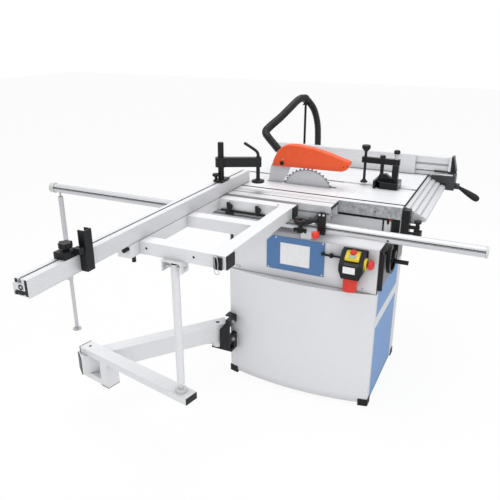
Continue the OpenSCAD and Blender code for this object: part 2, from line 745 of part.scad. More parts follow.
// Tilting unit: two curved cheeks, the tie plate with the lift rods, and the handwheel's bearing
module trunnion() color("dimgray") datum() difference() {
    union() {
        for (y = [cheek_front, cheek_rear]) cheek_at(y) intersection() {
            difference() {
                circle(r = ways_r - gap, $fn = 96);
                circle(r = cheek_r, $fn = 96);
            }
            polygon([[0, 0], for (a = [-cheek_left, cheek_right]) 2 * ways_r * [sin(a), -cos(a)]]);
        }
        box([tie_x, cheek_front, -80], [tie_x + tie_t, cheek_rear + cheek_t, -60]);
        box([tie_x, cheek_front + cheek_t + 2, tie_z], [tie_x + tie_t, cheek_rear - 2, -60]);
        box([wheel_x - 20, cheek_front - 16, wheel_z - 20], [tie_x + tie_t, cheek_front - 1, wheel_z + 20]);
        box([tie_x, cheek_front - 16, wheel_z - 20],
            [tie_x + tie_t, cheek_front + cheek_t + 3, wheel_z + 20]);
        box([tie_x, knife_y[0], knife_foot], [-knife_t / 2, knife_y[1], knife_foot + 30]);
        for (y = rod_y) {
            for (z = [tie_z, -44]) box([rod_x - 14, y - 14, z], [tie_x + 1, y + 14, z + 14]);
            rod_up(rod_x, y, tie_z + 1, -31, rod_d);
        }
    }
    box([tie_x - 1, -26, arbor_z - lift_down - 26], [tie_x + tie_t + 1, 26, 1]);
    rod_along_y(cheek_front - 17, cheek_front, wheel_x, wheel_z, shaft_d + 2 * run);
}

// Riving knife behind the blade
module riving_knife() color("gray") datum()
    translate([-knife_t / 2, 0, 0]) rotate([90, 0, 90]) linear_extrude(knife_t) difference() {
        polygon(knife_outline);
        translate([0, arbor_z]) circle(d = blade_d + 2 * knife_gap, $fn = 120);
    }

// Orange guard over the blade: a shell open below, clamped to the knife, with the hose's nozzle
module blade_guard() color("orangered") datum() {
    difference() {
        union() {
            plate_yz(-guard_w / 2, guard_w / 2, guard_outline);
            nozzle(hose_d + 8);
        }
        plate_yz(guard_wall - guard_w / 2, guard_w / 2 - guard_wall, guard_hollow);
        nozzle(hose_d + 8 - 2 * nozzle_wall, 1);
    }
    for (s = [0, 1]) mirror([s, 0, 0])
        rod_along_x(knife_t / 2, guard_w / 2 - guard_wall + 1, guard_bolt[0], guard_bolt[1], guard_boss_d);
}
module nozzle(d, over = 0)
    translate(nozzle_tip) rotate([-atan2(nozzle_dir[1], nozzle_dir[2]), 0, 0])
        translate([0, 0, -nozzle_l]) cylinder(d = d, h = nozzle_l + over);

// Arbor block that rides the lift rods, with its arm to the motor
module arbor_block() color("slategray") datum() difference() {
    union() {
        box([block_x, -36, block_z], [tie_x - 2, 36, -18]);
        box([block_x + 2, rod_y[0] - 18, block_z], [tie_x - 2, block_rear, -52]);
        box([plate_x, 86, block_z], [block_x + 3, block_rear, -66]);
        box([plate_x, motor_y - 70, motor_z - 70], [plate_x + motor_plate_t, motor_y + 70, motor_z + 70]);
        box([plate_x, 86, motor_z], [plate_x + motor_plate_t, block_rear, -66]);
    }
    rod_along_x(block_x - 10, tie_x, 0, arbor_z, arbor_d + 2 * run);
    for (y = rod_y) rod_up(rod_x, y, block_z - 2, -40, rod_d + 2 * run);
    rod_along_x(plate_x - 1, plate_x + motor_plate_t + 2, motor_y, motor_z, motor_shaft_d + 6);
}

// Motor with cooling ribs
module motor() color("slategray") datum() difference() {
    union() {
        rod_along_x(motor_x, motor_x + motor_l, motor_y, motor_z, motor_d - 14);
        for (i = [0 : 6]) translate([motor_x + 16 + 18 * i, 0, 0])
            rod_along_x(0, 8, motor_y, motor_z, motor_d);
    }
    rod_along_x(motor_x + 100, motor_x + motor_l + 1, motor_y, motor_z, motor_shaft_d + 2 * run);
}

// Flat belt round both pulleys
module drive_belt() color("black") datum()
    translate([belt_x + (pulley_w - belt_w) / 2, 0, 0]) rotate([90, 0, 90])
        linear_extrude(belt_w) difference() {
            belt_loop(gap + belt_t);
            belt_loop(gap);
        }
module belt_loop(over) hull() {
    translate([0, arbor_z]) circle(d = arbor_pulley_d + 2 * over, $fn = 32);
    translate([motor_y, motor_z]) circle(d = motor_pulley_d + 2 * over, $fn = 32);
}

// Saw blade with raked teeth
module saw_blade() color("lightgray") datum()
    translate([-blade_t / 2, 0, arbor_z]) rotate([90, 0, 90]) linear_extrude(blade_t) difference() {
        polygon([for (i = [0 : teeth - 1]) for (p = [[0, 1], [0.18, 0.985], [0.32, 0.93], [0.75, 0.945]])
            let (a = 360 * (i + p[0]) / teeth) blade_d / 2 * p[1] * [cos(a), sin(a)]]);
        circle(d = arbor_d, $fn = 64);
    }

// Arbor: shaft, two flanges, nut and its pulley
module arbor() color("silver") datum() {
    nut_x = blade_t / 2 + flange_t;
    rod_along_x(belt_x, nut_x + nut_t + 2, 0, arbor_z, arbor_d);
    rod_along_x(-nut_x, -blade_t / 2, 0, arbor_z, flange_d);
    rod_along_x(blade_t / 2, nut_x, 0, arbor_z, flange_d);
    translate([nut_x, 0, arbor_z]) rotate([0, 90, 0]) cylinder(d = nut_d, h = nut_t, $fn = 6);
    rod_along_x(belt_x, belt_x + pulley_w, 0, arbor_z, arbor_pulley_d);
}

// Motor shaft and its pulley
module motor_pulley() color("silver") datum() {
    rod_along_x(motor_x + 102, belt_x + pulley_w, motor_y, motor_z, motor_shaft_d);
    rod_along_x(belt_x, belt_x + pulley_w, motor_y, motor_z, motor_pulley_d);
}

// Dished handwheel on its long shaft, with the crank pin
module handwheel() color("black") datum() {
    difference() {
        rod_along_y(wheel_y, wheel_y + wheel_t, wheel_x, wheel_z, wheel_d);
        rod_along_y(wheel_y - 1, wheel_y + wheel_t - 5, wheel_x, wheel_z, wheel_d - 24);
        for (i = [0 : 2]) rod_along_y(wheel_y, wheel_y + wheel_t + 1,
            wheel_x + 38 * cos(120 * i + 30), wheel_z + 38 * sin(120 * i + 30), 34);
    }
    rod_along_y(wheel_y - 6, wheel_y + wheel_t, wheel_x, wheel_z, 34);
    rod_along_y(wheel_y + wheel_t - 1, shaft_end, wheel_x, wheel_z, shaft_d);
    rod_along_y(shaft_end - 1, cheek_front - 2, wheel_x, wheel_z, shaft_d);
    rod_along_y(wheel_y + gap, wheel_y + wheel_t - 4, grip_at[0], grip_at[1], grip_d);
    rod_along_y(wheel_y - grip_l, wheel_y + 1, grip_at[0], grip_at[1], 8);
}

// Turning grip on the crank pin
module crank_grip() color("black") datum() difference() {
    rod_along_y(wheel_y - grip_l - 4, wheel_y, grip_at[0], grip_at[1], grip_d);
    rod_along_y(wheel_y - grip_l - 1, wheel_y + 1, grip_at[0], grip_at[1], 8 + 2 * run);
}

// Sliding carriage: an extrusion open below, with a slot on top and one on its outer side
module carriage() color("silver") datum() difference() {
    box([carriage_x, carriage_front, -carriage_h],
        [carriage_x + carriage_w, carriage_front + carriage_l, 0]);
    translate([carriage_x, carriage_front - 1, 0]) {
        box([14, 0, -carriage_h - 1], [carriage_w - 12, carriage_l + 2, -20]);
        box([carriage_w / 2 - slot_open / 2, 0, -6], [carriage_w / 2 + slot_open / 2, carriage_l + 2, 1]);
        box([carriage_w / 2 - slot_wide / 2, 0, -14], [carriage_w / 2 + slot_wide / 2, carriage_l + 2, -5]);
        box([-1, 0, -36], [8, carriage_l + 2, -28]);
        box([carriage_w - 20, 0, -2], [carriage_w - 16, carriage_l + 2, 1]);
    }
}

// Shoes under the carriage that run on the guide rail
module carriage_shoes() color("dimgray") datum()
    for (y = [carriage_front + 26, carriage_front + carriage_l - 86]) difference() {
        box([rail_x + 14, y, rail_z + 4], [carriage_x + 34, y + 60, -carriage_h]);
        rod_along_y(y - 1, y + 61, rail_x, rail_z, rail_d + 2 * gap);
    }

// Black stop bracket that reaches over the rail and holds the lock's plunger, with its lever and knob
module stop_bracket() color("black") datum() difference() {
    union() {
        box([stop_plate[0][0] + 4, stop_plate[0][1] + 3, stop_arm_z[0]],
            [carriage_x, stop_plate[1][1] - 1, stop_arm_z[1]]);
        box(stop_plate[0], stop_plate[1]);
        box([stop_plate[1][0] - 1 - lever_w, stop_plate[1][1] - 1, lever_z],
            [stop_plate[1][0] - 1, tube_front - tube_cap_t, lever_z + lever_t]);
        box([stop_plate[0][0], stop_plate[1][1] - 1, lever_z + lever_t - 1],
            [stop_plate[1][0] - 1, tube_front - tube_cap_t, lever_z + lever_t + 8]);
        translate(lever_knob) star_knob(36, lever_knob_h);
        rod_up(lever_knob[0], lever_knob[1], lever_knob[2] + lever_knob_h - 1, lever_z + 1, 12);
    }
    rod_along_x(stop_plate[0][0] - 1, stop_plate[1][0] + 1,
        lock_ball[1], lock_ball[2], plunger_d + 2 * run);
}

// Red ball on the lock's plunger
module lock_knob() color("red") datum() {
    rod_along_x(lock_ball[0], plunger_tip, lock_ball[1], lock_ball[2], plunger_d);
    translate(lock_ball) rotate(90) sphere(d = lock_ball_d);
}

// Tubes of the outrigger that run along the cut, and the bracket of the strut
module outrigger_rails() color("white") datum() {
    tube_y(outer_tube, tube_front, cross_rear);
    tube_y(mid_tube, cross_front + tube_w, cross_rear);
    tube_y(inner_tube, tube_front, cross_rear);
    difference() {
        box([strut_at[0] - 22, strut_at[1] - bracket_w / 2, strut_bolt - 12],
            [strut_at[0] + 22, strut_at[1] + bracket_w / 2, tube_bottom]);
        box([strut_at[0] - 23, strut_at[1] - bracket_w / 2 + bracket_wall, strut_bolt - 13],
            [strut_at[0] + 23, strut_at[1] + bracket_w / 2 - bracket_wall, tube_bottom - bracket_wall]);
    }
    rod_along_y(strut_at[1] - bracket_w / 2 - 6, strut_at[1] + bracket_w / 2 + 6,
        strut_at[0], strut_bolt, 10);
}

// Tubes of the outrigger that run across the cut, with a closed outer end and the hole of the fence's pivot
module outrigger_crossbars() color("white") datum() {
    tube_x(cross_front, outer_tube + tube_w, inner_tube);
    difference() {
        tube_x(cross_rear, cross_end, inner_tube + tube_w);
        rod_up(pivot[0], pivot[1], tube_bottom + tube_wall + 1, tube_top + 1, pivot_d + 2 * run);
    }
    box([cross_end - tube_wall, cross_rear, tube_bottom], [cross_end, cross_rear + tube_w, tube_top]);
}

// Black caps on the tubes' open ends, and the plug on the outer face
module tube_caps() color("black") datum() {
    for (x = [outer_tube, inner_tube])
        box([x, tube_front - tube_cap_t, tube_bottom], [x + tube_w, tube_front, tube_top]);
    box([inner_tube + tube_w, cross_rear, tube_bottom],
        [inner_tube + tube_w + 4, cross_rear + tube_w, tube_top]);
    box([outer_tube - 8, -50, -49], [outer_tube, -22, -9]);
}

// Clamps of the outrigger: spacers to the carriage, wing screws, the bar below and the parking pin
module outrigger_clamps() color("black") datum() {
    for (y = wing_y) {
        box([inner_tube + tube_w, y - 14, -44], [carriage_x, y + 14, -22]);
        rod_along_x(inner_tube - 14, inner_tube, y, wing_z, 18);
        plate_yz(inner_tube - 22, inner_tube - 13, [
            [y + wing_w, wing_z + wing_h - 1], [y - 2, wing_z + wing_h], [y - wing_w + 1, wing_z + 4],
            [y - wing_w, wing_z - wing_h + 1], [y + 2, wing_z - wing_h], [y + wing_w - 1, wing_z - 4]
        ]);
    }
    box([inner_tube - clamp_bar, 52, tube_bottom - 4], [inner_tube, 250, tube_bottom + 4]);
    box([inner_tube - clamp_bar - 6, 190, tube_bottom - 14],
        [inner_tube - clamp_bar, 226, tube_bottom + 6]);
    rod_up(mid_tube + tube_w / 2, 85, tube_bottom - 30, tube_bottom, 10);
    rod_up(cross_end + 26, cross_rear + 10, tube_bottom - 22, tube_bottom, 14);
    rod_along_x(cross_end - tube_wall - 22, cross_end - tube_wall, cross_rear + 10, tube_top - 12, 14);
}

// Strut that stands on the swing arm: head, tube and levelling foot
module strut() color("whitesmoke") datum() difference() {
    union() {
        rod_up(strut_at[0], strut_at[1], arm_top + 36, strut_bolt + 12, strut_d);
        rod_up(strut_at[0], strut_at[1], arm_top + 12, arm_top + 37, 14);
        rod_up(strut_at[0], strut_at[1], arm_top + 0.8, arm_top + 12, foot_d);
    }
    rod_along_y(strut_at[1] - strut_d, strut_at[1] + strut_d, strut_at[0], strut_bolt, 10 + 2 * run);
}

// A straight bar between two plan points, longer by ends at its start and finish
module plan_bar(from, to, w, z0, z1, before, after)
    translate([from[0], from[1], z0]) rotate(atan2(to[1] - from[1], to[0] - from[0]))
        translate([-before, -w / 2, 0]) cube([norm(to - from) + before + after, w, z1 - z0]);

// Inner arm: a box tube from the cabinet's hinge to the elbow, with its hinge post and gusset
module inner_arm() color("white") datum() difference() {
    union() {
        difference() {
            plan_bar(hinge, elbow, inner_arm_w, inner_top - inner_arm_h, inner_top, arm_tail, 46);
            plan_bar(hinge, elbow, inner_arm_w - 8, inner_top - inner_arm_h + 4, inner_top - 4, -60, 47);
        }
        rod_up(hinge[0], hinge[1], post_bottom, inner_top, hinge_post_d);
        rod_up(elbow[0], elbow[1], inner_top - inner_arm_h, inner_top, elbow_pin_d + 14);
        translate([hinge[0], hinge[1], 0]) rotate(atan2(elbow[1] - hinge[1], elbow[0] - hinge[0]))
            translate([0, 4, inner_top - inner_arm_h]) rotate([90, 0, 0]) linear_extrude(8)
                polygon([[0, 1], [150, 1], [20, post_bottom + 8 - inner_top + inner_arm_h]]);
    }
    rod_up(hinge[0], hinge[1], post_bottom - 1, inner_top + 1, hinge_pin_d + 2 * run);
    rod_up(elbow[0], elbow[1], inner_top - inner_arm_h - 1, inner_top + 1, elbow_pin_d + 2 * run);
}

// Outer arm: a flat tube over the elbow, a short one under it, the post between and the elbow's pin
module outer_arm() color("white") datum() {
    fork_z = inner_top - inner_arm_h - 1;
    difference() {
        plan_bar(elbow, strut_at, outer_arm_w, arm_top - outer_arm_h, arm_top, 30, 46);
        plan_bar(elbow, strut_at, outer_arm_w - 8, arm_top - outer_arm_h + 4, arm_top - 4, 31, 47);
    }
    post_at = elbow + fork_post * unit(strut_at - elbow);
    plan_bar(elbow, post_at, outer_arm_w, fork_z - fork_t, fork_z, 30, 22);
    plan_bar(post_at, strut_at, outer_arm_w, fork_z - eps, arm_top - outer_arm_h + eps, 22,
        22 - norm(strut_at - post_at));
    rod_up(elbow[0], elbow[1], fork_z - eps, arm_top - 2, elbow_pin_d);
}

// Crosscut fence: an extrusion with a slot on top and a hollow below, on its pivot
module crosscut_fence() color("silver") datum() {
    difference() {
        box([fence_x, fence_y, fence_z], [fence_x + fence_l, fence_y + fence_w, fence_top]);
        translate([fence_x - 1, fence_y, 0]) {
            box([0, fence_w / 2 - slot_open / 2, fence_top - 5],
                [fence_l + 2, fence_w / 2 + slot_open / 2, fence_top + 1]);
            box([0, fence_w / 2 - slot_wide / 2, fence_top - 14],
                [fence_l + 2, fence_w / 2 + slot_wide / 2, fence_top - 4]);
            box([0, fence_w - 9, fence_top - 16], [fence_l + 2, fence_w + 1, fence_top + 1]);
            box([0, 8, fence_z + 4], [fence_l + 2, fence_w - 6, fence_z + 16]);
        }
    }
    rod_up(pivot[0], pivot[1], tube_top + gap, fence_z, 44);
    rod_up(pivot[0], pivot[1], tube_bottom + 6, tube_top + 1, pivot_d);
}

// Block of the flip stop on the fence's top, with its knob and the flap's pin
module flip_stop_block() color("black") datum() {
    box([stop_x[0], fence_y, fence_top + gap], [stop_x[1], fence_y + fence_w - 10, fence_top + stop_h]);
    box([stop_x[0] + 20, fence_y + fence_w / 2 - 3, fence_top - 10],
        [stop_x[1] - 20, fence_y + fence_w / 2 + 3, fence_top + 1]);
    box([stop_x[1] - 20, flap_pin[0] - 9, flap_pin[1] - 9], [stop_x[1], fence_y + 1, flap_pin[1] + 9]);
    rod_along_x(stop_x[1] - 1, flap_x[1] + 4, flap_pin[0], flap_pin[1], flap_pin_d);
    rod_up(stop_x[0] + 30, fence_y + 24, fence_top + stop_h - 1, fence_top + stop_h + 8, 20);
    translate([stop_x[0] + 30, fence_y + 24, fence_top + stop_h + 7]) star_knob(40, 15);
}

// Flap that the work is pushed against: a channel hanging on the pin
module flip_stop_flap() color("black") datum() difference() {
    box([flap_x[0], flap_pin[0] - flap_depth / 2, 1.5],
        [flap_x[1], flap_pin[0] + flap_depth / 2, flap_top]);
    box([flap_x[0] + flap_wall, flap_pin[0] - flap_depth / 2 + flap_wall, 0],
        [flap_x[1] - flap_wall, flap_pin[0] + flap_depth / 2 + 1, flap_top + 1]);
    rod_along_x(flap_x[0] - 1, flap_x[1] + 1, flap_pin[0], flap_pin[1], flap_pin_d + 2 * run);
}

// Hold-down's base on the fence and its column
module hold_down_post() color("dimgray") datum() {
    box([column_at[0] - 40, fence_y + 2, fence_top],
        [column_at[0] + 32, fence_y + fence_w - 10, fence_top + 9]);
    rod_up(column_at[0], column_at[1], fence_top + 8, fence_top + 160, column_d);
    rod_up(stud_at[0], stud_at[1], fence_top + 8, fence_top + 22, 12);
    translate([stud_at[0], stud_at[1], fence_top + 21]) star_knob(30, 13, 5);
}

// Hold-down's arm, clamped round the column
module hold_down_arm() color("dimgray") datum() difference() {
    union() {
        rod_up(column_at[0], column_at[1], hold_arm_z, hold_arm_z + hold_arm_h, column_d + 22);
        plan_bar(column_at, spindle_at, hold_arm_w, hold_arm_z, hold_arm_z + hold_arm_h, 0, 14);
    }
    rod_up(column_at[0], column_at[1], hold_arm_z - 1, hold_arm_z + hold_arm_h + 1, column_d + 2 * run);
    rod_up(spindle_at[0], spindle_at[1], hold_arm_z - 1, hold_arm_z + hold_arm_h + 1, spindle_d + 2 * run);
}

// Hold-down's spindle with its foot and bent handle
module hold_down_screw() color("dimgray") datum() {
    rod_up(spindle_at[0], spindle_at[1], hold_foot[0] + 8, handle_z, spindle_d);
    rod_up(spindle_at[0], spindle_at[1], hold_foot[0], hold_foot[1], hold_foot_d);
    rod_along_y(spindle_at[1], spindle_at[1] + handle_l, spindle_at[0], handle_z, handle_d);
    translate([spindle_at[0], spindle_at[1], handle_z]) sphere(d = spindle_d);
}

// Rip fence: the tall face plate on its profile
module rip_fence_profile() color("silver") datum() {
    box([rip_x, rip_plate_y[0], rip_floor], [rip_x + rip_plate_t, rip_plate_y[1], rip_h]);
    difference() {
        box([rip_x + rip_plate_t, rip_profile_y[0], rip_floor],
            [rip_x + rip_plate_t + rip_profile_w, rip_profile_y[1], rip_h - 4]);
        box([rip_x + rip_plate_t - 1, rip_profile_y[0] - 1, 50],
            [rip_x + rip_plate_t + 7, rip_plate_y[0], 60]);
        box([rip_x + rip_plate_t + 4, rip_profile_y[0] - 1, rip_floor + 4],
            [rip_x + rip_plate_t + rip_profile_w - 4, rip_profile_y[1] + 1, 44]);
    }
}

// Rip fence's head: a casting that hooks over the front rail, with the lever's lugs
module rip_fence_head() color("dimgray") datum() {
    slope = rail_slope / front_rail_w;
    back = -470;
    front = rail_edge - front_rail_w - 1;
    plate_yz(head_x[0], head_x[1], [
        [back, rip_floor], [back, -4 + slope * (back - rail_edge) + 0.6], [front + 0.4, -3.4 - rail_slope],
        [front, -62], [-577, -62], [-577, 2], [-566, 20], [rip_profile_y[0] - 1, 20],
        [rip_profile_y[0] - 1, rip_floor]
    ]);
    for (x = [440, 470]) difference() {
        box([x, lever_pin[0] - 9, lever_pin[1] - 10], [x + 6, -576, lever_pin[1] + 10]);
        rod_along_x(x - 1, x + 7, lever_pin[0], lever_pin[1], lever_pin_d);
    }
    rod_along_x(438, 478, lever_pin[0], lever_pin[1], lever_pin_d);
}

// Rip fence's clamp lever with its tapered grip
module rip_fence_lever() color("black") datum() difference() {
    union() {
        rod_along_x(446 + gap, 470 - gap, lever_pin[0], lever_pin[1], 20);
        translate([458, lever_pin[0], lever_pin[1]]) rotate([90 + 25, 0, 0]) rotate_extrude()
            polygon([[0, 7], [8, 7], [9, 22], [14, 42], [19, 72], [17, 104], [9, 117], [0, 120]]);
    }
    rod_along_x(445, 471, lever_pin[0], lever_pin[1], lever_pin_d + 2 * run);
}

// Bar of the mitre gauge in its slot
module mitre_bar() color("dimgray") datum() difference() {
    box([mitre_x - mitre_slot_w / 2 + gap, mitre_bar_y[0], -mitre_slot_h + gap],
        [mitre_x + mitre_slot_w / 2 - gap, mitre_bar_y[1], -0.5]);
    rod_up(mitre_at[0], mitre_at[1], -mitre_slot_h, 1, mitre_pin_d + 2 * run);
}

// Mitre gauge's head: casting, posts and the clamp's arm
module mitre_head() color("dimgray") datum() difference() {
    union() {
        rod_up(mitre_at[0], mitre_at[1], -7, 1, mitre_pin_d);
        intersection() {
            rod_up(mitre_at[0], mitre_at[1], gap, mitre_base_h, 118);
            box([mitre_at[0] - 46, mitre_at[1] - 40, 0],
                [mitre_at[0] + 46, mitre_at[1] + 62, mitre_base_h + 1]);
        }
        box([mitre_at[0] - 50, mitre_at[1] + 56, gap], [mitre_at[0] + 50, mitre_at[1] + 66, 36]);
        plate_yz(mitre_at[0] - 11, mitre_at[0] + 11, mitre_web);
        box([mitre_at[0] - 13, mitre_post_y - 14, mitre_base_h - 1],
            [mitre_at[0] + 13, mitre_post_y + 13, mitre_arm_z + 1]);
        rod_up(mitre_at[0], mitre_post_y, mitre_arm_z + mitre_arm_h - 1, 148, 15);
        rod_up(mitre_at[0], mitre_mid_y, mitre_base_h - 1, mitre_arm_z + 1, 14);
        rod_up(mitre_at[0], mitre_mid_y, mitre_arm_z + mitre_arm_h - 1, mitre_arm_z + mitre_arm_h + 13, 24);
        box([mitre_at[0] - 10, mitre_post_y - 16, mitre_arm_z],
            [mitre_at[0] + 10, mitre_screw_y + 14, mitre_arm_z + mitre_arm_h]);
        translate([mitre_at[0], mitre_post_y, 147]) star_knob(30, 16);
    }
    rod_up(mitre_at[0], mitre_screw_y, mitre_arm_z - 1, mitre_arm_z + mitre_arm_h + 1, 12 + 2 * run);
}

// Clamp screw of the mitre gauge
module mitre_screw() color("black") datum() {
    rod_up(mitre_at[0], mitre_screw_y, 18, 162, 12);
    rod_up(mitre_at[0], mitre_screw_y, 11, 19, 34);
    translate([mitre_at[0], mitre_screw_y, 160]) star_knob(38, 18);
}

// Emergency stop on the switch's side
module emergency_button() color("red") datum() {
    rod_along_y(switch_y[0] - 26, switch_y[0] - 1, left_x - switch_d / 2, stop_z, stem_d);
    rod_along_y(switch_y[0] - 34, switch_y[0] - 16, left_x - switch_d / 2, stop_z, 38);
}

// Star knob that locks the tilt
module tilt_lock_knob() color("black") datum() {
    rod_along_y(-510, bracket_lo[1] + 18, lock_at[0], lock_at[1], lock_shaft_d);
    translate([lock_at[0], -502, lock_at[1]]) rotate([90, 0, 0]) star_knob(36, 30);
}

cabinet_shell();
cabinet_front();
base_feet();
housing_shell();
housing_front();
cover_plate();
main_table();
side_strip();
table_insert();
trunnion_ways();
front_rail();
corner_bracket();
guide_rail();
rail_caps();
rail_brackets();
rail_leg();
switch_box();
power_inlet();
switch_cable();
arm_hinge_bracket();
hose_rod();
suction_hose();
dust_port();
trunnion();
riving_knife();
blade_guard();
arbor_block();
motor();
drive_belt();
saw_blade();
arbor();
motor_pulley();
handwheel();
crank_grip();
carriage();
carriage_shoes();
stop_bracket();
lock_knob();
outrigger_rails();
outrigger_crossbars();
tube_caps();
outrigger_clamps();
strut();
inner_arm();
outer_arm();
crosscut_fence();
flip_stop_block();
flip_stop_flap();
hold_down_post();
hold_down_arm();
hold_down_screw();
rip_fence_profile();
rip_fence_head();
rip_fence_lever();
mitre_bar();
mitre_head();
mitre_screw();
switch_flap();
emergency_button();
tilt_lock_knob();
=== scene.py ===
import json
import math

import bmesh
import bpy
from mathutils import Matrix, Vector


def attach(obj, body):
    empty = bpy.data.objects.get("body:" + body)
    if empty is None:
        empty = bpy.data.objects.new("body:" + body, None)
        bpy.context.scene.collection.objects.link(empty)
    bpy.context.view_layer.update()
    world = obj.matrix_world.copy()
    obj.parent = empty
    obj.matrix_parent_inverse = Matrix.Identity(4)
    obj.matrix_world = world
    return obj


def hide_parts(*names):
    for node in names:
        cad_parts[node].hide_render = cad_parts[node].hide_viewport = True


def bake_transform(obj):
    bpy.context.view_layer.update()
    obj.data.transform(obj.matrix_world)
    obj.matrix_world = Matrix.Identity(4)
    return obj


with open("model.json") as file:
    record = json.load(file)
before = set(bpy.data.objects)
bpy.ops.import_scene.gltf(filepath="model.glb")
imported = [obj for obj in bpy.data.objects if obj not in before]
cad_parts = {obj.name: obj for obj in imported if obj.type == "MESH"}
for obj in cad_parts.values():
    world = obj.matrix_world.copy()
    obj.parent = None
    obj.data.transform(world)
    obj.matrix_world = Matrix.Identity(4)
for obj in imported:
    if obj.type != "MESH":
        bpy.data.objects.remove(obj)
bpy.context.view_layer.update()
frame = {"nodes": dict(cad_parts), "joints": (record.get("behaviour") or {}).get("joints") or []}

# Studio
# The saw stands on white paper in soft light from a wide lamp overhead, one at the carriage side
# and a weak one in front. The camera looks down at it from the carriage side, a little in front.
camera = bpy.data.objects.new("view", bpy.data.cameras.new("view"))
camera.data.lens = 40.77
camera.location = (-2.263, -0.739, 1.510)
camera.rotation_euler = [math.radians(turn) for turn in (68.409, 0, -64.473)]
bpy.context.collection.objects.link(camera)
bpy.context.scene.camera = camera
bpy.context.scene.view_settings.view_transform = "Standard"


def linear(colour):
    """The linear RGBA of an sRGB hex colour."""
    parts = [int(colour[i:i + 2], 16) / 255 for i in (1, 3, 5)]
    return [c / 12.92 if c <= 0.04045 else ((c + 0.055) / 1.055) ** 2.4 for c in parts] + [1.0]


def add_node(tree, kind, values=(), links=(), **settings):
    """Adds a shader node with its settings, the values of its inputs and the links into them."""
    made = tree.nodes.new("ShaderNode" + kind)
    for name, value in settings.items():
        setattr(made, name, value)
    for socket, value in dict(values).items():
        made.inputs[socket].default_value = value
    for socket, source in dict(links).items():
        tree.links.new(source, made.inputs[socket])
    return made


def seen_rays(tree):
    """1 on rays from the camera, off a glossy surface or through a clear one, and 0 on the rest."""
    path = add_node(tree, "LightPath")
    seen = path.outputs["Is Camera Ray"]
    for other in ("Is Glossy Ray", "Is Transmission Ray"):
        either = add_node(tree, "Math", links={0: seen, 1: path.outputs[other]}, operation="MAXIMUM")
        seen = either.outputs[0]
    return seen


saw_middle = Vector((-0.4, 0.1, 0.6))


def add_lamp(name, place, size, power):
    """A square soft lamp aimed at the middle of the saw."""
    lamp = bpy.data.objects.new(name, bpy.data.lights.new(name, "AREA"))
    lamp.data.size = size
    lamp.data.energy = power
    lamp.location = place
    lamp.rotation_euler = (saw_middle - Vector(place)).to_track_quat("-Z", "Y").to_euler()
    bpy.context.collection.objects.link(lamp)


add_lamp("overhead", (-0.1, 0.3, 4.2), 3.0, 96)
add_lamp("carriage_side", (-3.6, -1.2, 1.6), 2.6, 27)
add_lamp("front", (-0.2, -3.8, 2.2), 2.6, 9)

world = bpy.data.worlds.new("studio")
bpy.context.scene.world = world
world.use_nodes = True
room = world.node_tree
ambient = room.nodes["Background"]
ambient.inputs["Color"].default_value = linear("#F4F6F8")
ambient.inputs["Strength"].default_value = 0.55
backdrop = add_node(room, "Background", {"Color": linear("#FFFFFF"), "Strength": 1.0})
both = add_node(room, "MixShader", links={0: seen_rays(room), 1: ambient.outputs[0], 2: backdrop.outputs[0]})
room.links.new(both.outputs[0], room.nodes["World Output"].inputs["Surface"])

# White paper sweep: matt, so the saw's shadow falls on it, and lifted to white for the camera
white_share = 0.93
floor_half = 14
paper = bpy.data.materials.new("paper_sweep")
paper.use_nodes = True
sheet = paper.node_tree
fibres = add_node(sheet, "TexNoise", {"Scale": 40.0, "Detail": 3.0})
tone = add_node(sheet, "ValToRGB", links={0: fibres.outputs["Fac"]})
tone.color_ramp.elements[0].color = linear("#FBFBFB")
tone.color_ramp.elements[1].color = linear("#FFFFFF")
matt = sheet.nodes["Principled BSDF"]
matt.inputs["Roughness"].default_value = 0.9
sheet.links.new(tone.outputs[0], matt.inputs["Base Color"])
white = add_node(sheet, "Emission", {"Color": linear("#FFFFFF"), "Strength": 1.0})
share = add_node(sheet, "Math", {1: white_share}, {0: seen_rays(sheet)}, operation="MULTIPLY")
shown = add_node(sheet, "MixShader", links={0: share.outputs[0], 1: matt.outputs[0], 2: white.outputs[0]})
sheet.links.new(shown.outputs[0], sheet.nodes["Material Output"].inputs["Surface"])
bm = bmesh.new()
bmesh.ops.create_grid(bm, x_segments=4, y_segments=4, size=floor_half)
floor = bpy.data.objects.new("floor", bpy.data.meshes.new("floor"))
bm.to_mesh(floor.data)
bm.free()
floor.data.materials.append(paper)
bpy.context.collection.objects.link(floor)

# Suction hose
# A ribbed hose from the guard's nozzle, over the rod at the table's edge and down to the cabinet.
# It is soft PVC wound in a spiral, pushed into the nozzle and over the spigot at its end.
datum = Vector(next(j["pos_m"] for j in frame["joints"] if j["name"] == "blade_tilt"))
hose_diameter = 36
hose_ribs = 200
rib_depth = 2.6
rib_rings = 6
hose_sides = 20
hose_route = [
    (0, 141, 145), (0, 167, 172), (0, 186, 191), (4, 205, 211), (22, 213, 222), (50, 214, 230),
    (85, 213, 239), (170, 208, 260), (260, 205, 285), (330, 207, 301), (390, 212, 311), (440, 216, 316),
    (490, 218, 316), (545, 214, 302), (590, 190, 250), (604, 172, 178),
    (606, 166, 101), (606, 165, 23), (606, 164, -56), (604, 162, -135), (588, 158, -212), (544, 151, -284),
    (478, 143, -338), (402, 134, -378), (324, 130, -397), (269, 130, -400), (234, 130, -400),
]


def at(x, y, z):
    """The place in the frame, in metres, of a point given in millimetres from the blade's datum."""
    return datum + Vector((x, y, z)) / 1000


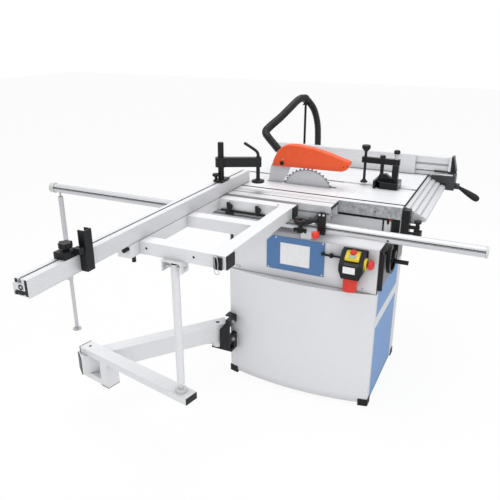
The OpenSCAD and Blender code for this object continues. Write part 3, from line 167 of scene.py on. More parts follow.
def smooth_line(points, count):
    """That many points, evenly spaced, on the smooth curve through the given ones."""
    knots = [Vector(p) for p in points]
    knots = [2 * knots[0] - knots[1], *knots, 2 * knots[-1] - knots[-2]]
    steps = 24
    fine = []
    for p, q, r, s in zip(knots, knots[1:], knots[2:], knots[3:]):
        for step in range(steps):
            t = step / steps
            bend = 2 * p - 5 * q + 4 * r - s + t * (3 * (q - r) + s - p)
            fine.append(q + 0.5 * t * (r - p + t * bend))
    fine.append(knots[-2])
    run = [0.0]
    for a, b in zip(fine, fine[1:]):
        run.append(run[-1] + (b - a).length)
    line, i = [], 0
    for step in range(count):
        want = run[-1] * step / (count - 1)
        while i < len(fine) - 2 and run[i + 1] < want:
            i += 1
        line.append(fine[i].lerp(fine[i + 1], min(1, (want - run[i]) / max(run[i + 1] - run[i], 1e-9))))
    return line


def add_tube(bm, line, radii, sides):
    """A tube along a line of points, with a radius for each, closed at both ends. Millimetres."""
    axis = (line[1] - line[0]).normalized()
    side = axis.orthogonal().normalized()
    rings = []
    for i, middle in enumerate(line):
        axis = (line[min(i + 1, len(line) - 1)] - line[max(i - 1, 0)]).normalized()
        side = (side - axis * side.dot(axis)).normalized()
        up = axis.cross(side)
        turns = [2 * math.pi * k / sides for k in range(sides)]
        spokes = [radii[i] * (math.cos(t) * side + math.sin(t) * up) for t in turns]
        rings.append([bm.verts.new(at(*(middle + spoke))) for spoke in spokes])
    for a, b in zip(rings, rings[1:]):
        for k in range(sides):
            bm.faces.new((a[k - 1], a[k], b[k], b[k - 1]))
    bm.faces.new(rings[0])
    bm.faces.new(rings[-1])


def add_turned(bm, foot, axis, profile, sides=32, bored=False):
    """A turned form on its foot: pairs of distance along the axis and radius, in millimetres.

    A bored one is a ring, whose profile closes on itself."""
    foot, axis = Vector(foot), Vector(axis).normalized()
    side = axis.orthogonal().normalized()
    up = axis.cross(side)
    turns = [2 * math.pi * k / sides for k in range(sides)]
    rings = []
    for along, radius in profile:
        spokes = [radius * (math.cos(t) * side + math.sin(t) * up) for t in turns]
        rings.append([bm.verts.new(at(*(foot + axis * along + spoke))) for spoke in spokes])
    for a, b in zip(rings, rings[1:] + rings[:1] if bored else rings[1:]):
        for k in range(sides):
            bm.faces.new((a[k - 1], a[k], b[k], b[k - 1]))
    if not bored:
        bm.faces.new(rings[0])
        bm.faces.new(rings[-1])


def surface(name, light, dark, roughness, grain, relief, metallic=0.0, along=None, edge=None):
    """A finish that runs between two colours in grains of that size. Grain and relief are in millimetres.

    A drawn or ground metal has its grain pulled out along an axis, and edge is a colour painted on its
    edges, as wear and as a painted highlight.
    Edges are softened to the eye, and corners where pieces meet are darkened with painted shade."""
    grain_pull = 90
    edge_radius = 0.0015
    corner_reach = 0.05
    corner_shade_share = 0.5
    made = bpy.data.materials.new(name)
    made.use_nodes = True
    tree = made.node_tree
    shader = tree.nodes["Principled BSDF"]
    shader.inputs["Metallic"].default_value = metallic
    shader.inputs["Specular IOR Level"].default_value = 0.25
    scale = [1000 / grain] * 3
    if along is not None:
        scale[along] /= grain_pull
    where = add_node(tree, "TexCoord")
    drawn = add_node(tree, "Mapping", {"Scale": scale}, {"Vector": where.outputs["Object"]})
    noise = add_node(tree, "TexNoise", {"Scale": 1.0, "Detail": 5.0}, {"Vector": drawn.outputs[0]})
    tone = add_node(tree, "ValToRGB", links={0: noise.outputs["Fac"]})
    tone.color_ramp.elements[0].position = 0.3
    tone.color_ramp.elements[0].color = linear(dark)
    tone.color_ramp.elements[1].position = 0.7
    tone.color_ramp.elements[1].color = linear(light)
    spread = {"From Min": 0.3, "From Max": 0.7, "To Min": roughness - 0.05, "To Max": roughness + 0.05}
    gloss = add_node(tree, "MapRange", spread, {"Value": noise.outputs["Fac"]})
    tree.links.new(gloss.outputs[0], shader.inputs["Roughness"])
    rounded = add_node(tree, "Bevel", {"Radius": edge_radius}, samples=4)
    relief_links = {"Height": noise.outputs["Fac"], "Normal": rounded.outputs[0]}
    bump = add_node(tree, "Bump", {"Distance": relief / 1000}, relief_links)
    tree.links.new(bump.outputs[0], shader.inputs["Normal"])
    colour = tone.outputs[0]
    # Painted highlight and wear: the edge colour is mixed onto edges, where the rounded normal turns from
    # the flat one
    if edge:
        flat = add_node(tree, "NewGeometry")
        normals = {0: rounded.outputs[0], 1: flat.outputs["Normal"]}
        turn = add_node(tree, "VectorMath", links=normals, operation="DOT_PRODUCT")
        edge_wear_and_highlight = {"From Min": 1.0, "From Max": 0.9, "To Max": 0.6}
        worn_and_lit_edge = add_node(tree, "MapRange", edge_wear_and_highlight, {"Value": turn.outputs["Value"]})
        mixed = add_node(tree, "Mix", {7: linear(edge)}, {0: worn_and_lit_edge.outputs[0], 6: colour}, data_type="RGBA")
        colour = mixed.outputs[2]
    # Painted shade: the colour is mixed half with its occluded copy, so corners within corner_reach darken.
    corners = add_node(tree, "AmbientOcclusion", {"Distance": corner_reach}, {"Color": colour}, samples=6)
    both = {6: colour, 7: corners.outputs["Color"]}
    corner_shaded = add_node(tree, "Mix", {0: corner_shade_share}, both, data_type="RGBA")
    tree.links.new(corner_shaded.outputs[2], shader.inputs["Base Color"])
    return made


def add_piece(name, bm, finish, body=None, rounding=0.0):
    """Makes an object of the mesh, with its edges rounded by that many millimetres, on its body."""
    crease = math.radians(38)
    bmesh.ops.recalc_face_normals(bm, faces=bm.faces)
    made = bpy.data.objects.new(name, bpy.data.meshes.new(name))
    bm.to_mesh(made.data)
    bm.free()
    made.data.materials.append(finish)
    made.data.shade_smooth()
    made.data.set_sharp_from_angle(angle=crease)
    bpy.context.collection.objects.link(made)
    if rounding:
        soft = made.modifiers.new("rounding", "BEVEL")
        soft.width = rounding / 1000
        soft.segments = 3
        soft.harden_normals = True
    if body:
        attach(made, body)
    return made


def dress(finish, *nodes):
    """Gives the finish to the solids of those names."""
    for name in nodes:
        mesh = frame["nodes"][name].data
        mesh.materials.clear()
        mesh.materials.append(finish)


# Soft PVC: near black, with a dull shine on the crown of each rib
soft_pvc = surface("soft_pvc", "#2F3134", "#17181A", 0.36, 9, 0.15)
hose_line = smooth_line(hose_route, hose_ribs * rib_rings + 1)
rib_shape = [0.5 - 0.5 * math.cos(2 * math.pi * k / rib_rings) for k in range(rib_rings)]
hose_radii = [hose_diameter / 2 - rib_depth * rib_shape[i % rib_rings] for i in range(len(hose_line))]
bm = bmesh.new()
add_tube(bm, hose_line, hose_radii, hose_sides)
hose = add_piece("suction_hose_ribbed", bm, soft_pvc)
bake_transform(hose)
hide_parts("suction_hose")
dress(soft_pvc, "suction_hose")

# Base cabinet
# Folded sheet steel with a bowed left wall and a blue front panel, on four moulded corner feet.
# The panels are screwed together from inside, and the feet are pushed over the corners.
# Powder coat, light grey: an even satin skin, its orange peel coarser than the real 1 mm so it shows
powder_grey = surface("powder_coat_grey", "#EAEAEC", "#E6E6E9", 0.45, 6, 0.03, edge="#F2F2F3")
dress(powder_grey, "cabinet_shell")

# Powder coat, blue with one white stripe: the front's colour field, soft and even
stripe_middle = datum.z - 0.464
stripe_width = 0.050
powder_blue = surface("powder_coat_blue", "#78A2D8", "#739DD3", 0.48, 6, 0.03, edge="#97B8E2")
tree = powder_blue.node_tree
shader = tree.nodes["Principled BSDF"]
paint = shader.inputs["Base Color"].links[0].from_socket
place = add_node(tree, "TexCoord")
split = add_node(tree, "SeparateXYZ", links={0: place.outputs["Object"]})
limits = {1: stripe_middle, 2: stripe_width / 2}
band = add_node(tree, "Math", limits, {0: split.outputs["Z"]}, operation="COMPARE")
striped = add_node(tree, "Mix", {7: linear("#E4E7EA")}, {0: band.outputs[0], 6: paint}, data_type="RGBA")
tree.links.new(striped.outputs[2], shader.inputs["Base Color"])
dress(powder_blue, "cabinet_front")

# Black rubber: matt and slightly dusty
foot_rubber = surface("moulded_rubber", "#202021", "#131314", 0.62, 5, 0.1)
dress(foot_rubber, "base_feet")

# Upper housing
# Welded sheet box with a ledge on the carriage side and a collar up to the table.
# Its front is a dark plate with a black edge moulding, and a blue cover is screwed on its side.
dress(powder_grey, "housing_shell")
# Dark satin paint over steel: a grey that fades as it mirrors the studio
dark_satin = surface("satin_paint_dark", "#47484B", "#3E3F42", 0.30, 12, 0.02, 0.4, edge="#77787B")
dress(dark_satin, "housing_front")
# Powder coat, deep blue: the cover's colour, a shade under the front's
cover_blue = surface("powder_coat_cover_blue", "#5C82B2", "#577DAD", 0.45, 6, 0.03, edge="#7FA0CB")
dress(cover_blue, "cover_plate")


def add_block(bm, lo, hi):
    """A block between two corners, in millimetres from the datum."""
    sides = list(zip(lo, hi))
    corners = [bm.verts.new(at(x, y, z)) for x in sides[0] for y in sides[1] for z in sides[2]]
    for face in ((0, 1, 3, 2), (4, 6, 7, 5), (0, 4, 5, 1), (2, 3, 7, 6), (0, 2, 6, 4), (1, 5, 7, 3)):
        bm.faces.new([corners[i] for i in face])


def add_plate(bm, axis, start, end, outline):
    """A flat outline of points in the other two axes, thickened along one axis. Millimetres."""
    ends = []
    for depth in (start, end):
        points = [list(p) for p in outline]
        for p in points:
            p.insert(axis, depth)
        ends.append([bm.verts.new(at(*p)) for p in points])
    for k in range(len(outline)):
        bm.faces.new((ends[0][k - 1], ends[0][k], ends[1][k], ends[1][k - 1]))
    bm.faces.new(ends[0])
    bm.faces.new(ends[1])


# Bright zinc: small cold headed screws with a sharp glint
bright_zinc = surface("bright_zinc", "#D2D4D7", "#B9BBBF", 0.28, 2, 0.02, metallic=0.8)
left_face = -300
cover_face = -302.5
screw_head = [(0, 4.6), (1.2, 4.6), (2.4, 3.4), (2.8, 1.6)]
screws = [(cover_face, y, z) for y, z in ((-183, -146), (-183, -282), (52, -284), (20, -148))]
screws += [(left_face, y, z) for y, z in ((203, -306), (190, -309), (-353, -310))]
bm = bmesh.new()
for place in screws:
    add_turned(bm, place, (-1, 0, 0), screw_head, 16)
add_piece("housing_screws", bm, bright_zinc, "frame")

# White vinyl: a blank sign on the cover, smooth with a soft sheen
white_vinyl = surface("white_vinyl", "#F6F6F6", "#EFEFF0", 0.35, 14, 0.02)
bm = bmesh.new()
add_block(bm, (cover_face - 0.8, -129, -262), (cover_face, 0, -167))
add_piece("cover_sign_blank", bm, white_vinyl, "frame", 0.3)

# Moulded black ABS: deep grey in the light, with rounded edges
black_abs = surface("moulded_abs_black", "#1F2022", "#141517", 0.40, 4, 0.08, edge="#46474A")
front_face = -411
edge_bar = [(front_face, -143), (-420, -143), (-429, -156), (-429, -306), (front_face, -306)]
bm = bmesh.new()
add_plate(bm, 0, left_face, left_face + 12, edge_bar)
add_block(bm, (left_face, -423, -151), (left_face + 48, front_face, -141))
add_piece("front_edge_moulding", bm, black_abs, "frame", 2)

# A thin dark strip is painted shade in the joint between the housing and the cabinet
bm = bmesh.new()
add_block(bm, (left_face - 0.5, front_face, -325), (left_face, 237, -323.6))
add_piece("housing_joint_shade_strip", bm, dark_satin, "frame", 0.2)

# Table
# Cast iron plate on a skirt, ground on top, with an insert round the blade.
# A strip lies along the carriage side, and a sloping rail carries the rip fence in front.
# Ground iron: pale on top, with fine lines along the grinding, and rough grey as cast on its sides
ground_iron = surface("ground_cast_iron", "#F0F1F3", "#E7E8EB", 0.40, 5, 0.01, 0.12, along=1, edge="#EDEDEE")
tree = ground_iron.node_tree
shader = tree.nodes["Principled BSDF"]
ground = shader.inputs["Base Color"].links[0].from_socket
cast_grain = 14
where = add_node(tree, "TexCoord")
coarse = {"Scale": 1000 / cast_grain, "Detail": 4.0}
clouds = add_node(tree, "TexNoise", coarse, {"Vector": where.outputs["Object"]})
as_cast = add_node(tree, "ValToRGB", links={0: clouds.outputs["Fac"]})
as_cast.color_ramp.elements[0].position = 0.35
as_cast.color_ramp.elements[0].color = linear("#97989B")
as_cast.color_ramp.elements[1].position = 0.7
as_cast.color_ramp.elements[1].color = linear("#C2C3C5")
facing = add_node(tree, "NewGeometry")
upward = add_node(tree, "SeparateXYZ", links={0: facing.outputs["Normal"]})
tops = add_node(tree, "Math", {1: 0.8}, {0: upward.outputs["Z"]}, operation="GREATER_THAN")
by_side = {0: tops.outputs[0], 6: as_cast.outputs[0], 7: ground}
iron = add_node(tree, "Mix", links=by_side, data_type="RGBA")
tree.links.new(iron.outputs[2], shader.inputs["Base Color"])
dress(ground_iron, "main_table", "side_strip", "table_insert")
# Painted casting: dark grey and slightly rough, brighter where its edges are rubbed
dark_iron = surface("painted_casting", "#4B4C4F", "#38393B", 0.50, 5, 0.25, 0.1, edge="#7C7D80")
dress(dark_iron, "trunnion_ways")
# Extruded aluminium, clear anodised: pale and silky, with faint die lines along its length
alu_along_x = surface("anodised_aluminium_x", "#E4E5E7", "#DDDEE1", 0.42, 3, 0.01, 0.2, 0, "#F1F1F3")
alu_along_y = surface("anodised_aluminium_y", "#E6E7E9", "#DFE0E3", 0.5, 3, 0.01, 0.05, 1, "#F1F1F3")
dress(alu_along_x, "front_rail")
# Powder coat, black: satin, with a painted grey highlight on each edge
black_powder = surface("powder_coat_black", "#1D1E20", "#131416", 0.34, 5, 0.06, edge="#4C4E52")
dress(black_powder, "corner_bracket", "tilt_lock_knob")

# Black strips are painted shade in the joints of the table with its side strip and with the front rail
bm = bmesh.new()
add_block(bm, (-131, -452, -3.8), (-118.5, 348, 0.3))
add_block(bm, (-119, -457, -5.6), (517, -452.3, -1.5))
add_piece("table_joint_shade_strips", bm, foot_rubber, "frame", 0.2)

# Below the table, on the collar: a black strip of painted shade under the table's edge, and the tilt scale
# on a black bracket
collar_face = -135
bm = bmesh.new()
add_block(bm, (collar_face - 2, -410, -68), (collar_face, 215, -52))
add_piece("table_edge_shade_strip", bm, foot_rubber, "frame", 0.8)
bm = bmesh.new()
add_block(bm, (collar_face - 1.2, -409, -117), (collar_face, -382, -61))
add_piece("tilt_scale_plate", bm, white_vinyl, "frame", 0.4)
bm = bmesh.new()
add_block(bm, (collar_face - 2, -444, -118), (collar_face + 8, -412, -52))
add_piece("tilt_scale_bracket", bm, black_powder, "frame", 1.5)
scale_hand = [(-391, -66), (-403, -64), (-401, -80), (-396, -86), (-393, -80)]
scale_mark = [(-395, -61), (-409, -61), (-409, -72), (-404, -66)]
bm = bmesh.new()
add_block(bm, (collar_face - 1.6, -381, -138), (collar_face, -375, -61))
add_plate(bm, 0, collar_face - 2.4, collar_face - 1.2, scale_hand)
add_piece("tilt_scale_hand", bm, black_powder, "frame", 0.3)
# Moulded red ABS: bright and even
red_abs = surface("moulded_abs_red", "#E8453A", "#DE3B31", 0.36, 8, 0.03, edge="#F27468")
bm = bmesh.new()
add_plate(bm, 0, collar_face - 3, collar_face - 1.2, scale_mark)
add_piece("tilt_scale_mark", bm, red_abs, "frame", 0.3)

# Blade unit
# The blade on its arbor, belt and motor, which tilt on curved ways and rise on two rods.
# The guard is one orange moulding, bolted to the riving knife, and the hose pushes into its nozzle.
dress(dark_iron, "trunnion", "arbor_block")
# Painted motor: blue grey and slightly rough
motor_grey = surface("painted_motor", "#6C7075", "#5C6065", 0.45, 6, 0.1, 0.2, edge="#8A8D92")
dress(motor_grey, "motor")
# Belt rubber: black and dead matt
belt_rubber = surface("belt_rubber", "#242424", "#191919", 0.7, 4, 0.2)
dress(belt_rubber, "drive_belt")
# Turned steel: bright, with tool marks too fine to tell apart
turned_steel = surface("turned_steel", "#C6C8CB", "#B2B4B8", 0.30, 3, 0.01, 0.8, edge="#DADBDD")
dress(turned_steel, "arbor", "motor_pulley")
# Ground blade steel: light grey with faint rings from the grinding wheel, darker where the teeth are
blade_steel = surface("ground_blade_steel", "#DCDEE1", "#D2D4D8", 0.36, 3, 0.004, 0.2, edge="#6E7074")
tree = blade_steel.node_tree
shader = tree.nodes["Principled BSDF"]
plain = shader.inputs["Base Color"].links[0].from_socket
arbor_z = -47
ring_step = 6
ring_values = {"Scale": 1000 * 2 * math.pi / 20 / ring_step, "Distortion": 1.0}
ring_settings = {"wave_type": "RINGS", "rings_direction": "X"}
where = add_node(tree, "TexCoord")
centre = {1: at(0, 0, arbor_z)}
centred = add_node(tree, "VectorMath", centre, {0: where.outputs["Object"]}, operation="SUBTRACT")
rings = add_node(tree, "TexWave", ring_values, {"Vector": centred.outputs[0]}, **ring_settings)
depth = add_node(tree, "MapRange", {"To Max": 0.35}, {"Value": rings.outputs["Fac"]})
ringed = add_node(tree, "Mix", {7: linear("#B4B6BA")}, {0: depth.outputs[0], 6: plain}, data_type="RGBA")
reach = add_node(tree, "VectorMath", links={0: centred.outputs[0]}, operation="LENGTH")
tooth_grey = linear("#6E7074")
tooth_zone = {"From Min": 0.111, "From Max": 0.119}
tips = add_node(tree, "MapRange", tooth_zone, {"Value": reach.outputs["Value"]})
by_reach = {0: tips.outputs[0], 6: ringed.outputs[2]}
toothed = add_node(tree, "Mix", {7: tooth_grey}, by_reach, data_type="RGBA")
tree.links.new(toothed.outputs[2], shader.inputs["Base Color"])
dress(blade_steel, "saw_blade")
# Rolled steel sheet: the knife's pale even grey
rolled_steel = surface("rolled_steel", "#D9DADC", "#D0D1D4", 0.40, 4, 0.005, 0.4, edge="#E8E8EA")
dress(rolled_steel, "riving_knife")

# Orange ABS: even and bright, with a painted soft highlight on its rounded edges
orange_abs = surface("moulded_abs_orange", "#F7653A", "#F35F35", 0.45, 18, 0.02, edge="#FF9F84")
dress(orange_abs, "blade_guard")
guard_half = 20
guard_wall = 2.5
guard_line = [
    (166.8, 77.8), (155.7, 111.5), (140.8, 140), (125.8, 158.4), (107.2, 171.2), (81, 176.9), (43.8, 177.3),
    (6.9, 172.8), (-29.6, 168.4), (-65.9, 160), (-102, 150.9), (-137.8, 139.2), (-173.3, 129), (-188, 123),
    (-191.5, 117), (-185.4, 102.8), (-175.9, 88.1), (-158.8, 81.5),
]
bm = bmesh.new()
walls = [[bm.verts.new(at(x, y, z)) for y, z in guard_line] for x in (-guard_half, guard_half)]
for k in range(1, len(guard_line)):
    bm.faces.new((walls[0][k - 1], walls[0][k], walls[1][k], walls[1][k - 1]))
bm.faces.new(walls[0])
bm.faces.new(walls[1])
guard = add_piece("guard_moulding", bm, orange_abs, "tilt_unit")
rim = guard.modifiers.new("rim", "BEVEL")
rim.width = 0.004
rim.segments = 4
rim.angle_limit = math.radians(50)
shell = guard.modifiers.new("shell", "SOLIDIFY")
shell.thickness = guard_wall / 1000
shell.offset = -1
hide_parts("blade_guard")
knife_bolt = [(0, 9.5), (2, 9.5), (3, 8), (3, 4.5), (6.5, 4.5), (7, 3.5)]
bm = bmesh.new()
add_turned(bm, (-guard_half, 116.8, 92.2), (-1, 0, 0), knife_bolt)
for y, z in ((-166, 102), (-181.7, 106)):
    add_turned(bm, (-guard_half, y, z), (-1, 0, 0), [(0, 2.6), (0.8, 2.4), (1.2, 1.4)], 16)
add_piece("guard_bolts", bm, black_powder, "tilt_unit")
bm = bmesh.new()
add_turned(bm, (-guard_half, 111.8, 110.6), (-1, 0, 0), [(0, 3.2), (0.8, 3), (1.2, 1.8)], 16)
add_piece("guard_rivet", bm, bright_zinc, "tilt_unit")
dress(black_abs, "handwheel", "crank_grip")

# Guide rail
# A round aluminium rail on two saddles, which carries the sliding carriage.
# Its far end stands on a telescopic leg, and white caps close it.
# Drawn aluminium tube, not anodised: a deeper grey than the extrusions, with a long soft highlight
drawn_tube = surface("drawn_aluminium", "#D6D7DA", "#CFD0D3", 0.32, 3, 0.01, 0.2, 1, "#E4E4E6")
dress(drawn_tube, "guide_rail")
dress(alu_along_y, "rail_brackets")
# White ABS: clean and half matt
white_cap = surface("moulded_abs_white", "#DDDDDD", "#D4D4D4", 0.4, 6, 0.05, edge="#F0F0F0")
dress(white_cap, "rail_caps")
# Zinc plated tube: the leg's cool light grey
plated_tube = surface("zinc_plated_tube", "#CFD0D3", "#C6C7CA", 0.36, 4, 0.01, 0.3, edge="#E0E0E2")
dress(plated_tube, "rail_leg")
# A dark strip is painted shade in the groove along its outer side
bm = bmesh.new()
add_block(bm, (-331.2, -779, -69), (-329.8, 1179, -66.6))
add_piece("rail_groove_shade_strip", bm, dark_satin, "frame", 0.3)

# Switch
# A moulded box on a back plate, with a yellow flap over its buttons and a red inlet below.
# An emergency button in a yellow ring stands out at its front side.
dress(black_abs, "switch_box", "switch_cable")
# Yellow ABS: warm and even, half gloss
yellow_abs = surface("moulded_abs_yellow", "#F0D23C", "#E8C832", 0.38, 8, 0.03, edge="#F7E27A")
dress(yellow_abs, "switch_flap")
dress(red_abs, "power_inlet", "emergency_button")
flap_pin = Vector((-324.08, 0, -149.98))
flap_way = Vector((-48, 0, -34)).normalized()
flap_out = Vector((-34, 0, 48)).normalized()
hood = [(-5, -4), (42, -4), (44, 1), (38, 9), (6, 10), (-5, 4)]
bm = bmesh.new()
ends = [flap_pin + a * flap_way + b * flap_out for a, b in hood]
add_plate(bm, 1, -345.2, -288.8, [(p.x, p.z) for p in ends])
lid = add_piece("switch_flap_hood", bm, yellow_abs, "flap", 3)
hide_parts("switch_flap")
dome_at = flap_pin + Vector((0, -317, 0)) + 8 * flap_way + 8 * flap_out
bm = bmesh.new()
add_turned(bm, dome_at, flap_out, [(0, 13), (3, 13), (7, 11), (9.5, 7), (10.5, 3)])
add_piece("switch_stop_dome", bm, red_abs, "flap")
# Clear green acrylic over the start button: dull and greyish
green_acrylic = surface("green_acrylic", "#A9BBA3", "#9DB098", 0.25, 8, 0.01)
window = [flap_pin + a * flap_way + b * flap_out for a, b in ((22, 9.3), (35, 9), (35, 10.6), (22, 10.9))]
bm = bmesh.new()
add_plate(bm, 1, -332, -302, [(p.x, p.z) for p in window])
add_piece("switch_window", bm, green_acrylic, "flap", 0.4)
bm = bmesh.new()
add_block(bm, (-372.9, -336, -223), (-372, -288, -196))
add_piece("switch_sign_blank", bm, white_vinyl, "frame", 0.3)
stop_at = (-336, -364, -187)
stop_ring = [(0, 24.5), (6.5, 24.5), (9, 22), (9, 11), (0.5, 11)]
mushroom = [(1, 8.4), (15.6, 8.4), (16, 17), (17.5, 19.5), (24, 20), (30, 18.5), (33.5, 14), (35, 6)]
bm = bmesh.new()
add_turned(bm, stop_at, (0, -1, 0), stop_ring, bored=True)
add_piece("emergency_ring", bm, yellow_abs, "frame")
bm = bmesh.new()
add_turned(bm, stop_at, (0, -1, 0), mushroom)
button = add_piece("emergency_mushroom", bm, red_abs, "stop_button")
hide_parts("emergency_button")

# Carriage
# An aluminium extrusion that slides on shoes along the guide rail.
# A black bracket at its front holds the sprung lock with its red ball, and a lever with a wing knob.
dress(alu_along_y, "carriage")
dress(black_abs, "carriage_shoes")
dress(black_powder, "stop_bracket")
dress(red_abs, "lock_knob")
# Dark plates are painted shade in the chambers of the extrusion at its front end
carriage_end = -196
chambers = [((-264, -17), (-234, -3)), ((-231, -17), (-201, -3)), ((-198, -17), (-168, -3))]
chambers += [((-264, -53), (-256, -40)), ((-264, -25), (-256, -21)), ((-174, -53), (-168, -23))]
bm = bmesh.new()
for (x0, z0), (x1, z1) in chambers:
    add_block(bm, (x0, carriage_end - 0.6, z0), (x1, carriage_end, z1))
add_piece("carriage_end_chamber_shade", bm, black_abs, "carriage_unit", 0.2)
stop_plate = [
    (-203, -90), (-200, -92), (-174, -92), (-171, -90), (-171, -6), (-176, -1), (-198, -1), (-203, -6),
]
lever_hub = [(0, 9), (0, 25), (2, 27), (13, 27), (15, 25), (15, 9)]
lever_post = [(0, 10), (3, 15), (12, 15), (16, 10), (20, 8.5), (40, 8.5)]
wings = [
    (-132, -76), (-128, -92), (-112, -84), (-96, -84), (-80, -92), (-76, -76), (-98, -72), (-110, -72),
]
lever_points = 16
lever_route = [(-346, -168, -38), (-350, -156, -36), (-355, -144, -39), (-357, -128, -45)]
lever_radii = [9 + 3 * i / (lever_points - 1) for i in range(lever_points)]
bm = bmesh.new()
add_block(bm, (-346, -174, -44), (-267, -150, -27))
add_plate(bm, 0, -350, -340, stop_plate)
add_tube(bm, smooth_line(lever_route, lever_points), lever_radii, 16)
add_turned(bm, (-357, -104, -53), (0, 0, 1), lever_hub, bored=True)
add_turned(bm, (-357, -104, -92), (0, 0, 1), lever_post)
add_plate(bm, 0, -362, -352, wings)
forged = add_piece("stop_bracket_forged", bm, black_powder, "carriage_unit", 1.2)
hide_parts("stop_bracket")
bm = bmesh.new()
for y in (-178.3, -194.2):
    add_turned(bm, (-350, y, -11), (-1, 0, 0), [(0, 4.8), (1.6, 4.8), (2.6, 3.4)], 16)
add_piece("stop_bracket_screws", bm, bright_zinc, "carriage_unit")

# Outrigger
# A frame of five white box tubes, screwed to the carriage's side and held up by a strut.
# Black plugs close the tubes, and wing screws hold the clamps.
# Powder coat, white: bright and smooth, half gloss
white_powder = surface("powder_coat_white", "#EAEAEC", "#E6E6E8", 0.42, 8, 0.03, edge="#F4F4F5")
dress(white_powder, "outrigger_rails", "outrigger_crossbars", "strut")
dress(black_abs, "tube_caps", "outrigger_clamps")
plug = [(0, 4.2), (0.5, 4.2), (0.9, 3.4)]
bm = bmesh.new()
for y, z in ((235.8, -25.1), (54, -24.9)):
    add_turned(bm, (-896, y, z), (-1, 0, 0), plug, 16)
add_turned(bm, (-324.2, 5, -3), (0, 0, 1), plug, 16)
add_piece("tube_plugs", bm, black_abs, "carriage_unit")
bm = bmesh.new()
add_turned(bm, (-890, 131, -63), (0, 0, 1), [(0, 12), (1.5, 12), (2.5, 10.5)])
add_piece("strut_plug", bm, black_abs, "strut_leg")
wire = [
    (-29, -4), (-35, -7), (-39, -26), (-38, -48), (-43, -58), (-34, -64), (-26, -58), (-28, -40), (-26, -18),
]
wire_points = 60
wire_radius = 1.4
wire_line = smooth_line([(-906, y, z) for y, z in wire + wire[:1]], wire_points)
bm = bmesh.new()
add_tube(bm, wire_line, [wire_radius] * wire_points, 10)
add_piece("plug_wire_ring", bm, bright_zinc, "carriage_unit")

# Swing arm
# Two box tubes that fold at an elbow, on a black hinge bracket bolted to the cabinet.
# They carry the strut's foot as the carriage slides, and black plugs close their ends.
dress(black_powder, "arm_hinge_bracket")
dress(white_powder, "inner_arm", "outer_arm")
hinge = Vector((-342, 282))
elbow = Vector((-789, 631))
strut_at = Vector((-890, 131))
outer_top = -559
outer_low = -586
inner_top = -587
inner_low = -667
fork_low = -693


def add_bar(bm, start, way, length, width, low, high):
    """A block along a direction in plan, from its start, between two heights. Millimetres."""
    side = Vector((-way.y, way.x)) * width / 2
    plan = [start - side, start + side, start + side + way * length, start - side + way * length]
    add_plate(bm, 2, low, high, plan)


outer_way = (strut_at - elbow).normalized()
inner_way = (elbow - hinge).normalized()
bm = bmesh.new()
add_bar(bm, strut_at + 46 * outer_way, outer_way, 3, 55, outer_low + 1, outer_top - 1)
add_bar(bm, elbow - 30 * outer_way, -outer_way, 3, 59, outer_low, outer_top + 0.8)
add_bar(bm, elbow + 86 * outer_way, outer_way, 44, 59, fork_low - 3, fork_low)
add_turned(bm, (elbow.x, elbow.y, outer_top), (0, 0, 1), [(0, 5.5), (0.6, 5.5), (1, 4.5)], 20)
add_piece("outer_arm_plugs", bm, black_abs, "outer_swing", 0.8)
bm = bmesh.new()
add_bar(bm, elbow + 46 * inner_way, inner_way, 3, 58, inner_low + 1, inner_top - 1)
add_piece("inner_arm_plug", bm, black_abs, "inner_swing", 0.8)
bolt_head = [(0, 9), (1.5, 9), (1.6, 6.5), (7, 6.5), (8, 5.5)]
bm = bmesh.new()
for x, z in ((-350, -563), (-348, -651)):
    add_turned(bm, (x, 203, z), (0, -1, 0), bolt_head, 24)
add_piece("hinge_bolts", bm, bright_zinc, "frame")

# Crosscut fence
# A slotted aluminium extrusion on a pivot at the outrigger's rear tube, with painted shade in the open slots
# at its end.
# It carries a flip stop, and a hold-down on a column with a bent handle.
dress(alu_along_x, "crosscut_fence")
dress(black_abs, "flip_stop_block")
dress(black_powder, "flip_stop_flap", "hold_down_post", "hold_down_arm", "hold_down_screw")
fence_end = -1376
# Dark plates and a ring are painted shade in the open slots and screw channel at the fence's far end
shaded_openings = (((264, 4), (272, 50)), ((296, 40), (305, 51)), ((300, 4), (311, 12)), ((281, 5), (296, 11)))
bm = bmesh.new()
for lo, hi in shaded_openings:
    add_block(bm, (fence_end - 1, *lo), (fence_end, *hi))
add_turned(bm, (fence_end, 287.5, 27), (-1, 0, 0), [(0, 4), (0, 8), (1, 8), (1, 4)], 24, bored=True)
add_piece("fence_end_slot_shade", bm, black_abs, "crosscut", 0.3)
# A glide strip under the fence rides just above the tubes
bm = bmesh.new()
add_block(bm, (fence_end + 3, 263, -1.9), (-340, 271, 2.2))
add_piece("fence_glide_strip", bm, alu_along_x, "crosscut", 0.4)
spindle = (-203, 149)
handle = [(149, 54), (149, 90), (149, 140), (149, 160), (152, 171), (160, 178.5), (174, 187), (212, 206)]
handle_line = smooth_line([(spindle[0], y, z) for y, z in handle], 60)
handle_radii = [8 if p.z < 158 else 6.2 for p in handle_line]
column = [(0, 12.5), (151, 12.5), (153, 11)]
clamp_stud = [(0, 6), (12, 6), (13, 12), (16, 15), (23, 15), (26, 12), (27, 5)]
bm = bmesh.new()
add_block(bm, (-312, 264, 55.2), (-240, 305, 63.5))
add_turned(bm, (-272, 288, 62), (0, 0, 1), column)
add_turned(bm, (-299, 298, 63), (0, 0, 1), clamp_stud)
stand = add_piece("hold_down_stand", bm, black_powder, "crosscut", 1)
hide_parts("hold_down_post")
foot_disc = [(0, 20), (1.5, 26), (3, 27.5), (9, 27.5), (11, 25), (14, 12), (18, 9)]
bm = bmesh.new()
add_tube(bm, handle_line, handle_radii, 20)
add_turned(bm, (*spindle, 44), (0, 0, 1), foot_disc)
screw = add_piece("hold_down_handle", bm, black_powder, "hold_screw")
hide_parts("hold_down_screw")

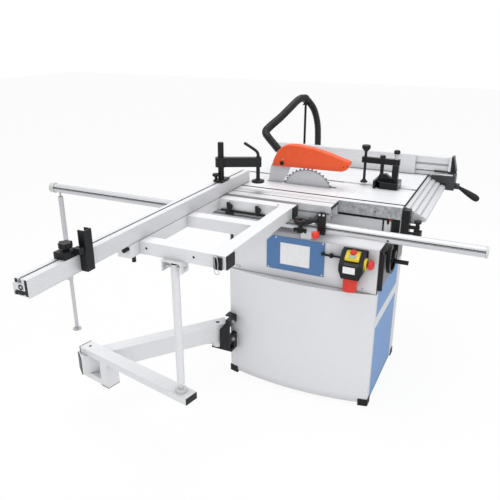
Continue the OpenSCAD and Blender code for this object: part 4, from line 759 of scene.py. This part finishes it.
# Rip fence
# A tall aluminium plate on a profile, with a cast head that hooks over the front rail.
# A lever with a tapered grip clamps it, and a black plate closes the profile's front end.
dress(alu_along_y, "rip_fence_profile")
dress(dark_iron, "rip_fence_head")
dress(black_abs, "rip_fence_lever")
end_plate = [(-553, 20.5), (-554.5, 97), (-562, 95.5), (-580, 24), (-577, 20.5)]
bm = bmesh.new()
add_plate(bm, 0, 412.5, 462, end_plate)
add_block(bm, (414, -541.8, 20.6), (421.8, -480, 27))
add_block(bm, (421.2, -541, 21), (422, -392, 24.5))
add_block(bm, (414, -540, -61), (418, -480, -30))
add_piece("rip_fence_end", bm, black_powder, "rip", 0.8)
bm = bmesh.new()
add_block(bm, (415.5, -566, 7), (418, -497, 14))
add_block(bm, (412.5, -553, 27.5), (462, -542.2, 95.5))
add_piece("rip_fence_rule", bm, alu_along_y, "rip", 0.6)
lever_pin = (458, -588, -48)
lever_way = (0, -0.88, -0.474)
grip = [(6, 7), (12, 8), (30, 10), (60, 14), (92, 16.6), (108, 15), (115, 10.5), (118.5, 4)]
bm = bmesh.new()
add_turned(bm, lever_pin, lever_way, grip)
lever_eye = [(0, 5.2), (0, 10), (23, 10), (23, 5.2)]
add_turned(bm, (446.5, *lever_pin[1:]), (1, 0, 0), lever_eye, bored=True)
lever = add_piece("rip_lever_grip", bm, black_abs, "rip_lever", 0.6)
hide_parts("rip_fence_lever")

# Mitre gauge
# A steel bar in the table's slot with a cast swivel head.
# Posts on the head carry an arm with a clamp screw.
dress(turned_steel, "mitre_bar")
dress(black_powder, "mitre_screw")
# Black enamel on a casting: glossy, with painted white highlights on its corners
black_enamel = surface("black_enamel", "#17181A", "#0D0E10", 0.16, 6, 0.1, edge="#8A8C90")
dress(black_enamel, "mitre_head")
swivel = (123, -340)
swivel_r = 59
turns = [2 * math.pi * k / 48 for k in range(48)]
round_disc = [(swivel_r * math.cos(t), swivel_r * math.sin(t)) for t in turns]
disc = [(max(-46, min(46, x)), max(-40, min(57, y))) for x, y in round_disc]
web = [(-284, 30), (-290, 56), (-318, 60), (-345, 42), (-374, 30)]
bm = bmesh.new()
add_plate(bm, 2, 0.4, 30, [(swivel[0] + x, swivel[1] + y) for x, y in disc])
add_block(bm, (73, -284, 0.4), (173, -274, 36))
add_plate(bm, 0, 112, 134, web)
add_block(bm, (112, -371, 29), (134, -344, 101))
add_block(bm, (113, -373, 100), (133, -208, 126))
add_turned(bm, (123, -298, 50), (0, 0, 1), [(0, 8), (75, 8), (76, 12), (87, 12), (89, 10)])
add_turned(bm, (123, -357, 149), (0, 0, 1), [(0, 9), (2, 13), (9, 14), (15, 12), (17, 8)])
cast = add_piece("mitre_head_casting", bm, black_enamel, "mitre_swing", 2.5)
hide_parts("mitre_head")
bm = bmesh.new()
add_turned(bm, (123, -357, 126), (0, 0, 1), [(0, 10), (3, 10), (4, 7.5), (18, 7.5), (19, 11), (23, 11)])
add_piece("mitre_head_stud", bm, bright_zinc, "mitre_swing")
clamp_foot = [(0, 15), (1.5, 17), (5, 15), (12, 8.5), (16, 6)]
clamp_knob = [(136, 6), (140, 9), (147, 15), (152, 18.5), (162, 19), (166, 16), (167, 6)]
bm = bmesh.new()
add_turned(bm, (123, -222, 11), (0, 0, 1), clamp_foot + clamp_knob)
press = add_piece("mitre_clamp_screw", bm, black_powder, "mitre_clamp")
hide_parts("mitre_screw")

# Hose holder and dust port
# A black rod screwed to the table's edge holds the hose up in a saddle with a clip.
# The hose ends on a moulded spigot in the cabinet's wall.
dress(black_powder, "hose_rod")
dress(black_abs, "dust_port")
bm = bmesh.new()
clip = [(-7, 18.6), (-7, 21.5), (7, 21.5), (7, 18.6)]
add_turned(bm, (531.4, 217.8, 307.9), (0.92, -0.23, -0.33), clip, bored=True)
add_block(bm, (523, 208, 278), (539, 224, 291))
add_piece("hose_clip", bm, black_powder, "frame", 0.6)
